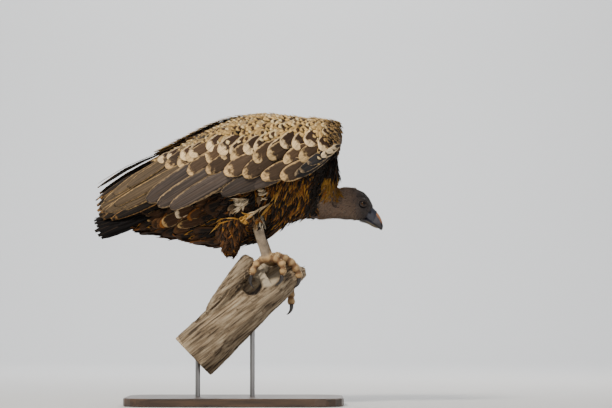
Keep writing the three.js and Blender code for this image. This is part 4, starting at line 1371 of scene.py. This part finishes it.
def bill_material():
    """Slate cere, an orange-horn ridge, dark cutting edge and hook, and a brownish lower bill."""
    material, tree, shader = new_material("bill horn", 0.33, Coat_Weight=0.25, Coat_Roughness=0.25)
    place = object_place(tree)
    x, y, z = add(tree, "ShaderNodeSeparateXYZ", Vector=place).outputs
    uneven = add(tree, "ShaderNodeTexNoise", Vector=place, Scale=260.0, Detail=3.0).outputs["Fac"]
    wave = math_node(tree, "MULTIPLY_ADD", uneven, 0.004, -0.002)
    x, z = (math_node(tree, "ADD", part, wave) for part in (x, z))
    side = math_node(tree, "ABSOLUTE", y)
    # How far forward of the cere's edge, and how near the hook, a place lies.
    from_cere = math_node(tree, "MULTIPLY_ADD", z, -CERE_SLANT, x)
    past_cere = step_between(tree, from_cere, CERE_EDGE + 1.5 * MM, CERE_EDGE + 4.5 * MM)
    near_tip = step_between(tree, z, 0.4555, 0.4475)
    high = math_node(tree, "MULTIPLY_ADD", side, -1.6, z)
    ridge = step_between(tree, math_node(tree, "MULTIPLY_ADD", x, 0.9, high), 0.7700, 0.7810)
    lower = step_between(tree, math_node(tree, "MULTIPLY_ADD", x, 0.62, z), 0.6640, 0.6600)
    horn = mix_colours(tree, ridge, (0.050, 0.046, 0.055), (0.46, 0.20, 0.085))
    horn = mix_colours(tree, near_tip, horn, (0.012, 0.010, 0.012))
    bill = mix_colours(tree, past_cere, (0.022, 0.022, 0.034), horn)
    lower = math_node(tree, "MULTIPLY", lower, step_between(tree, x, 0.3585, 0.3560))
    rear = step_between(tree, x, 0.338, 0.322)
    lower_horn = mix_colours(tree, rear, (0.095, 0.070, 0.036), (0.026, 0.020, 0.018))
    bill = mix_colours(tree, lower, bill, lower_horn)
    light = math_node(tree, "MULTIPLY_ADD", uneven, 0.7, 0.62)
    tree.links.new(shaded(tree, bill, light), shader.inputs["Base Color"])
    grain = add(tree, "ShaderNodeTexNoise", Vector=place, Scale=900.0, Detail=2.0).outputs["Fac"]
    bump(tree, shader, grain, 0.25, 0.25 * MM)
    return material


def bill():
    """Both halves of the bill, rounded, with nostrils, the cere's raised edge and a blunt hook."""
    for part, rounds in (("bill_upper", 3), ("bill_lower", 2)):
        horn = copy_of(f"{part}_horn", [part])
        before = corners_of(horn)
        apply_modifier(horn, "SUBSURF", levels=rounds, render_levels=rounds)
        points, outward = corners_of(horn), normals_of(horn)
        points = points + outward * (0.7 * MM * hump(points[:, 2] - 0.443, 4 * MM))[:, None]
        # Subdivision draws the ends in, so the piece is stretched back to its length.
        for k in range(3):
            low, high = before[:, k].min(), before[:, k].max()
            was_low, was_high = points[:, k].min(), points[:, k].max()
            points[:, k] = low + (points[:, k] - was_low) * (high - low) / (was_high - was_low)
        if part == "bill_upper":
            # The hook ends in a short point and not in the needle that subdivision leaves there.
            points[:, 2] = np.maximum(points[:, 2], HOOK_END - 0.3 * (HOOK_END - points[:, 2]))
            for sign in SIDES.values():
                slit = (points - NOSTRIL * [1, sign, 1]) / (np.array([1.5, 3.0, 3.6]) * MM)
                points -= outward * (2.6 * MM * hump(np.linalg.norm(slit, axis=1), 1.0))[:, None]
            past_edge = points[:, 0] - CERE_SLANT * points[:, 2] - CERE_EDGE
            points += outward * (0.9 * MM * hump(past_edge, 2.4 * MM))[:, None]
            points -= outward * (0.5 * MM * hump(past_edge - 4.2 * MM, 0.9 * MM))[:, None]
        move_corners(horn, points)
        horn.data.shade_smooth()
        settle(horn, MATERIALS["bill"], "bill_horn", part)


# ---------------------------------------------------------------- feet
def scute_rows():
    """Broad overlapping scutes down the front of each shank and along the top of each toe."""
    roots, headings, widths = [], [], []
    for side in SIDES:
        shank = np.array(SHANKS[side], float)
        routes = [(np.array(toe, float), 15.5, 20.0) for toe in TOES[side]] + [(shank, 15.5, 26.0)]
        for k, (route, width, reach) in enumerate(routes):
            run = np.append(0, np.cumsum(np.linalg.norm(np.diff(route, axis=0), axis=1)))
            for d in np.arange(3.0, run[-1] - 1, SCUTE_STEP):
                place = np.array([np.interp(d, run, route[:, i]) for i in range(3)])
                ahead = np.array([np.interp(d + 3, run, route[:, i]) for i in range(3)])
                behind = np.array([np.interp(d - 3, run, route[:, i]) for i in range(3)])
                way = unit(ahead - behind)
                out = np.array([1.0, 0.0, 0.15]) if k == len(routes) - 1 else place - PERCH_MIDDLE
                if k < len(routes) - 1:
                    out = out * [1, 0.35, 1] + [0, 0, 30]
                out = unit(out - way * (out @ way))
                hit = SKIN.tree.ray_cast((place + out * reach) * MM, -out)[0]
                if hit is None:
                    continue
                roots.append(np.array(hit))
                headings.append(way)
                widths.append(width * (1 - 0.22 * d / run[-1]))
    roots, headings, widths = np.array(roots), np.array(headings), np.array(widths)
    line = walk(SKIN, roots, headings, np.full(len(roots), 4.1 * MM), SCUTE_FORM.shares)
    paint = coloured(len(roots), (0.52, 0.36, 0.19), (0.30, 0.20, 0.10), 0.10, 0.14, 0.22)
    high = np.clip((roots[:, 2] - 0.385) / 0.03, 0, 1)
    paint["centre"] = blend_between(paint["centre"], (0.36, 0.28, 0.20), high)
    made = vanes("scutes", SCUTE_FORM, line, widths * MM, np.zeros(len(roots)), paint, MATERIALS["scute"],
                 "leg_skin", patches=SKIN.patches(roots))
    # Each plate is bent onto the skin: its middle stands a little proud and its edges sink in.
    height = np.full((len(SCUTE_FORM.shares), len(SCUTE_FORM.across)), -0.3)
    height[1:-1, 1:-1] = 0.65
    under = np.full((height.shape[0] - 2) * (height.shape[1] - 2), -0.6)
    height = np.tile(np.concatenate([height.ravel(), under]), len(roots)) * MM
    hits = [SKIN.tree.find_nearest(point)[:2] for point in corners_of(made)]
    move_corners(made, np.array([place + normal * h for (place, normal), h in zip(hits, height)]))


def claws():
    """Each claw is rounded and keeps its own node."""
    for side in SIDES:
        for toe in ("hallux", "outer", "middle", "inner"):
            name = f"claw_{side}_{toe}"
            claw = copy_of(f"{name}_horn", [name])
            apply_modifier(claw, "SUBSURF", levels=2, render_levels=2)
            claw.data.shade_smooth()
            settle(claw, MATERIALS["claw"], "claw_horn", name)


def claw_material():
    material, tree, shader = new_material("claw horn", 0.28, Coat_Weight=0.3, Coat_Roughness=0.2)
    grain = add(tree, "ShaderNodeTexNoise", Vector=object_place(tree), Scale=300.0, Detail=3.0).outputs["Fac"]
    tree.links.new(colour_ramp(tree, grain, [(0.3, (0.010, 0.008, 0.008)), (0.75, (0.045, 0.034, 0.028))]),
                   shader.inputs["Base Color"])
    bump(tree, shader, grain, 0.2, 0.2 * MM)
    return material


# ---------------------------------------------------------------- the perch
BRANCH_CUT = np.array([-104, 0, 119]) * MM
BRANCH_TIP = np.array([176, 0, 330]) * MM
BRANCH_WAY = unit(BRANCH_TIP - BRANCH_CUT)
BRANCH_UP = unit(np.array([-BRANCH_WAY[2], 0, BRANCH_WAY[0]]))
BRANCH_TURN = math.atan2(BRANCH_WAY[2], BRANCH_WAY[0])
HOLLOW = np.array([44, -52, 294]) * MM
HOLLOW_DEPTH = 24 * MM
# The crack along the branch's upper edge: x and z, in millimetres.
CRACK = np.array([(-96, 206), (-70, 226), (-48, 243), (-28, 262), (-14, 282)]) * MM
# Small holes where insects left the wood: x, z and radius, in millimetres.
BEETLE_HOLES = np.array([
    (-34, 262, 3.0), (70, 232, 2.4), (96, 250, 2.6), (8, 236, 2.2), (-60, 178, 2.2),
]) * MM
SPLIT_FACE = (0.080, 0.0, 0.324)  # the middle of the pale face under the right foot, in the side view
# Where the wood swells up under the foot and in the fork: x, z, height and width, in millimetres.
SWELLS = np.array([(67, 342, 17, 13), (34, 322, 8, 12), (126, 343, 6, 12)]) * MM


def wood_relief(points):
    """Weathered dead wood: long swells and ridges along the grain, a crack, pits and a gnawed rim."""
    along = points @ BRANCH_WAY
    up = points @ BRANCH_UP
    grain = np.stack([along * 0.10, points[:, 1], up], axis=1)
    swell = np.stack([along * 0.35, points[:, 1], up], axis=1)
    rise = 3.0 * MM * noise_at(swell, 26)
    rise += 1.3 * MM * noise_at(grain, 120)
    ridges = noise_at(grain, 260)
    rise += 0.9 * MM * (0.5 - 2 * np.abs(ridges)) + 0.5 * MM * noise_at(points, 330)
    side_view = points[:, [0, 2]]
    near = points[:, 1] < 0.01
    for x, z, height, width in SWELLS:
        rise += height * hump(np.linalg.norm(side_view - [x, z], axis=1), width)
    wander = 2.5 * MM * noise_at(grain, 60)
    rise -= near * 7.0 * MM * hump(along_route(side_view, CRACK)[0] + wander, 2.6 * MM)
    for x, z, radius in BEETLE_HOLES:
        pit = np.linalg.norm(side_view - [x, z], axis=1)
        rise -= near * 4.0 * MM * hump(pit, radius)
    rim = np.linalg.norm((points - HOLLOW)[:, [0, 2]], axis=1)
    rise += near * 3.0 * MM * noise_at(points, 150) * hump(rim - 27 * MM, 10 * MM)
    ends = np.clip((along - (BRANCH_CUT @ BRANCH_WAY + 1.5 * MM)) / (2 * MM), 0, 1)
    return rise * ends


def perch():
    """The branch and its side shoot as one piece of weathered wood."""
    wood = copy_of("perch", ["perch_branch", "perch_shoot"])
    apply_modifier(wood, "REMESH", mode="VOXEL", voxel_size=1.9 * MM)
    apply_modifier(wood, "SMOOTH", factor=0.5, iterations=4)
    points, outward = corners_of(wood), normals_of(wood)
    points = points + outward * wood_relief(points)[:, None]
    # The rotted heartwood goes deep into the side that faces the right foot.
    from_hollow = np.linalg.norm((points - HOLLOW)[:, [0, 2]] / [1.1, 1.0], axis=1)
    from_hollow = from_hollow + 3 * MM * noise_at(points, 90)
    sunk = np.clip((25 * MM - from_hollow) / (5 * MM), 0, 1)
    points[:, 1] += (points[:, 1] < -0.012) * HOLLOW_DEPTH * sunk**2 * (3 - 2 * sunk)
    move_corners(wood, points)
    wood.data.shade_smooth()
    settle(wood, MATERIALS["wood"], "dead_wood", "perch_branch", "perch_shoot")


SPLINTER_FORM = Form([0, 0.3, 0.65, 1], 3, 0.3, 1.6, quill=0.9, tip=0.2, arch=0.5, roll=0.0, thick=1.6 * MM)
# Where splinters stand out from the broken wood: root (x, y, z), direction, length and width.
SPLINTERS = [
    ((154, -10, 334), (0.9, 0.1, 0.45), 24, 7), ((158, 6, 330), (0.95, -0.1, 0.3), 20, 8),
    ((160, -6, 320), (0.95, 0.0, 0.2), 18, 9), ((152, -22, 318), (0.9, -0.2, 0.25), 18, 7),
    ((156, 14, 324), (0.9, 0.2, 0.4), 20, 7), ((148, 2, 342), (0.7, 0.0, 0.8), 14, 8),
    ((60, -54, 318), (0.6, -0.1, 0.8), 14, 8), ((26, -50, 312), (0.1, -0.4, 0.8), 12, 8),
]


def splinters():
    """Torn fibres at the broken ends and round the hollow."""
    places, ways, lengths, widths = (np.array(part, float) for part in zip(*SPLINTERS))
    ways = unit(ways)
    facing = np.array([-0.6, -0.4, 0.8])
    ups = unit(facing - ways * (ways @ facing)[:, None])
    run = SPLINTER_FORM.shares[None, :, None] * lengths[:, None, None]
    points = (places[:, None] + ways[:, None] * run) * MM
    ups, ways = (np.broadcast_to(part[:, None], points.shape) for part in (ups, ways))
    line = (points, ups, ways)
    paint = coloured(len(places), (0.42, 0.33, 0.21), (0.30, 0.22, 0.13), 0.2, 0.1)
    vanes("splinters", SPLINTER_FORM, line, widths * MM, np.zeros(len(places)), paint,
          MATERIALS["wood"], "dead_wood")


def wood_material():
    """Grey-tan dead wood: streaks along the grain, cracks, painted shade inside the hollow, a pale split face
    and a sawn end with rings.
    """
    material, tree, shader = new_material("dead wood", 0.85)
    place = object_place(tree)
    turned = add(tree, "ShaderNodeMapping", {"vector_type": "TEXTURE"}, Vector=place,
                 Rotation=(0.0, -BRANCH_TURN, 0.0)).outputs[0]
    stretched = add(tree, "ShaderNodeMapping", Vector=turned, Scale=(0.09, 1.0, 1.0)).outputs[0]
    streak = add(tree, "ShaderNodeTexNoise", Vector=stretched, Scale=170.0, Detail=6.0).outputs["Fac"]
    broad = add(tree, "ShaderNodeTexNoise", Vector=stretched, Scale=34.0, Detail=3.0).outputs["Fac"]
    speck = add(tree, "ShaderNodeTexNoise", Vector=place, Scale=420.0, Detail=3.0).outputs["Fac"]
    base = colour_ramp(tree, streak, [
        (0.34, (0.045, 0.028, 0.015)), (0.46, (0.22, 0.155, 0.090)), (0.60, (0.36, 0.275, 0.175)),
        (0.75, (0.50, 0.41, 0.28)),
    ])
    light = math_node(tree, "MULTIPLY_ADD", broad, 0.8, 0.55)
    light = math_node(tree, "MULTIPLY", light, math_node(tree, "MULTIPLY_ADD", speck, 0.7, 0.65))
    wood = shaded(tree, base, light)
    drawn_out = add(tree, "ShaderNodeMapping", Vector=turned, Scale=(0.025, 1.0, 1.0)).outputs[0]
    crack_noise = add(tree, "ShaderNodeTexNoise", Vector=drawn_out, Scale=110.0, Detail=4.0).outputs["Fac"]
    off_crack = math_node(tree, "ABSOLUTE", math_node(tree, "SUBTRACT", crack_noise, 0.5))
    cracks = math_node(tree, "MULTIPLY", step_between(tree, off_crack, 0.020, 0.0),
                       step_between(tree, broad, 0.42, 0.56))
    wood = mix_colours(tree, math_node(tree, "MULTIPLY", cracks, 0.75), wood, (0.040, 0.026, 0.015))
    x, y, z = add(tree, "ShaderNodeSeparateXYZ", Vector=place).outputs
    side_view = add(tree, "ShaderNodeCombineXYZ", X=x, Z=z).outputs[0]
    hollow = add(tree, "ShaderNodeVectorMath", {"operation": "DISTANCE"}, i0=side_view,
                 i1=(HOLLOW[0], 0.0, HOLLOW[2])).outputs["Value"]
    # Painted shade: the inside of the hollow is painted dark, where light does not reach.
    inside = math_node(tree, "MULTIPLY", step_between(tree, hollow, 0.025, 0.020),
                       step_between(tree, y, -0.010, -0.016))
    wood = mix_colours(tree, inside, wood, (0.050, 0.037, 0.030))
    facing = step_between(tree, y, -0.002, -0.014)
    from_face = add(tree, "ShaderNodeVectorMath", {"operation": "DISTANCE"}, i0=side_view,
                    i1=SPLIT_FACE).outputs["Value"]
    torn = math_node(tree, "MULTIPLY_ADD", streak, 0.012, from_face)
    face = math_node(tree, "MULTIPLY", step_between(tree, torn, 0.041, 0.032), facing)
    face = math_node(tree, "MULTIPLY", face, math_node(tree, "SUBTRACT", 1.0, inside))
    wood = mix_colours(tree, math_node(tree, "MULTIPLY", face, 0.85), wood, (0.50, 0.42, 0.30))
    lengthwise, _, _ = add(tree, "ShaderNodeSeparateXYZ", Vector=turned).outputs
    cut_place = float(BRANCH_CUT @ BRANCH_WAY)
    end = step_between(tree, lengthwise, cut_place + 1.6 * MM, cut_place)
    rings = add(tree, "ShaderNodeTexWave", {"wave_type": "RINGS", "rings_direction": "X"}, Vector=turned,
                Scale=60.0, Distortion=1.5, Detail=2.0).outputs["Fac"]
    sawn = colour_ramp(tree, rings, [(0.2, (0.36, 0.25, 0.14)), (0.8, (0.52, 0.40, 0.25))])
    wood = mix_colours(tree, end, wood, sawn)
    tree.links.new(wood, shader.inputs["Base Color"])
    height = math_node(tree, "ADD", streak, math_node(tree, "MULTIPLY", speck, 0.4))
    height = math_node(tree, "SUBTRACT", height, cracks)
    bump(tree, shader, height, 0.7, 1.2 * MM)
    return material


# ---------------------------------------------------------------- the stand
def stand():
    """The plain base and rods keep the solids' own shapes and get finishes."""
    finishes = {"stand_base": stand_wood(), "stand_rod_front": rod_steel(), "stand_rod_rear": rod_steel()}
    for name, material in finishes.items():
        solid = nodes[name]
        solid.data.materials.clear()
        solid.data.materials.append(material)


def stand_wood():
    material, tree, shader = new_material("base wood", 0.42, Coat_Weight=0.2, Coat_Roughness=0.3)
    stretched = add(tree, "ShaderNodeMapping", Vector=object_place(tree), Scale=(1.0, 9.0, 9.0)).outputs[0]
    grain = add(tree, "ShaderNodeTexNoise", Vector=stretched, Scale=9.0, Detail=6.0,
                Distortion=0.6).outputs["Fac"]
    tree.links.new(colour_ramp(tree, grain, [(0.3, (0.030, 0.017, 0.010)), (0.7, (0.095, 0.052, 0.027))]),
                   shader.inputs["Base Color"])
    bump(tree, shader, grain, 0.15, 0.3 * MM)
    return material


def rod_steel():
    material, tree, shader = new_material("rod steel", 0.34, Metallic=1.0)
    shader.inputs["Base Color"].default_value = (0.32, 0.31, 0.30, 1)
    brushed = add(tree, "ShaderNodeMapping", Vector=object_place(tree), Scale=(1.0, 1.0, 0.02)).outputs[0]
    lines = add(tree, "ShaderNodeTexNoise", Vector=brushed, Scale=2500.0, Detail=1.0).outputs["Fac"]
    bump(tree, shader, lines, 0.1, 0.1 * MM)
    return material


# ---------------------------------------------------------------- everything in place
set_camera()
studio()
floor_sweep()

MATERIALS = {
    "covert": feather_material("covert feathers", 0.75, 26.0, 0.35, wear=0.6),
    "flight": feather_material("flight feathers", 0.6, 60.0, 0.3, wear=0.5, streak=3.0),
    "tail": feather_material("tail feathers", 0.9, 60.0, 0.3, wear=0.5, sheen=0.0, streak=3.0),
    "body": feather_material("body feathers", 0.85, 18.0, 0.4, wear=0.7),
    "down": feather_material("down", 0.9, 8.0, 0.2, wear=0.4, sheen=0.2),
    "scute": feather_material("scutes", 0.5, 4.0, 0.1, wear=0.3),
    "skin": skin_material(),
    "eye": eye_material(),
    "lid": lid_material(),
    "bill": bill_material(),
    "claw": claw_material(),
    "wood": wood_material(),
}
WINGS = {side: WingSheet(side) for side in SIDES}
skin, skin_kinds = make_skin()
SKIN = Skin(skin, skin_kinds)
settle(skin, MATERIALS["skin"], "body_feathers", *FLESH)
for side in SIDES:
    flight_rows(side)
    covert_rows(side)
tail_feathers()
body_coat()
belly_coat()
ruff_coat()
neck_down()
head_down()
underwing_coverts()
thigh_locks()
loose_feathers()
eyes()
bill()
scute_rows()
claws()
perch()
splinters()
stand()
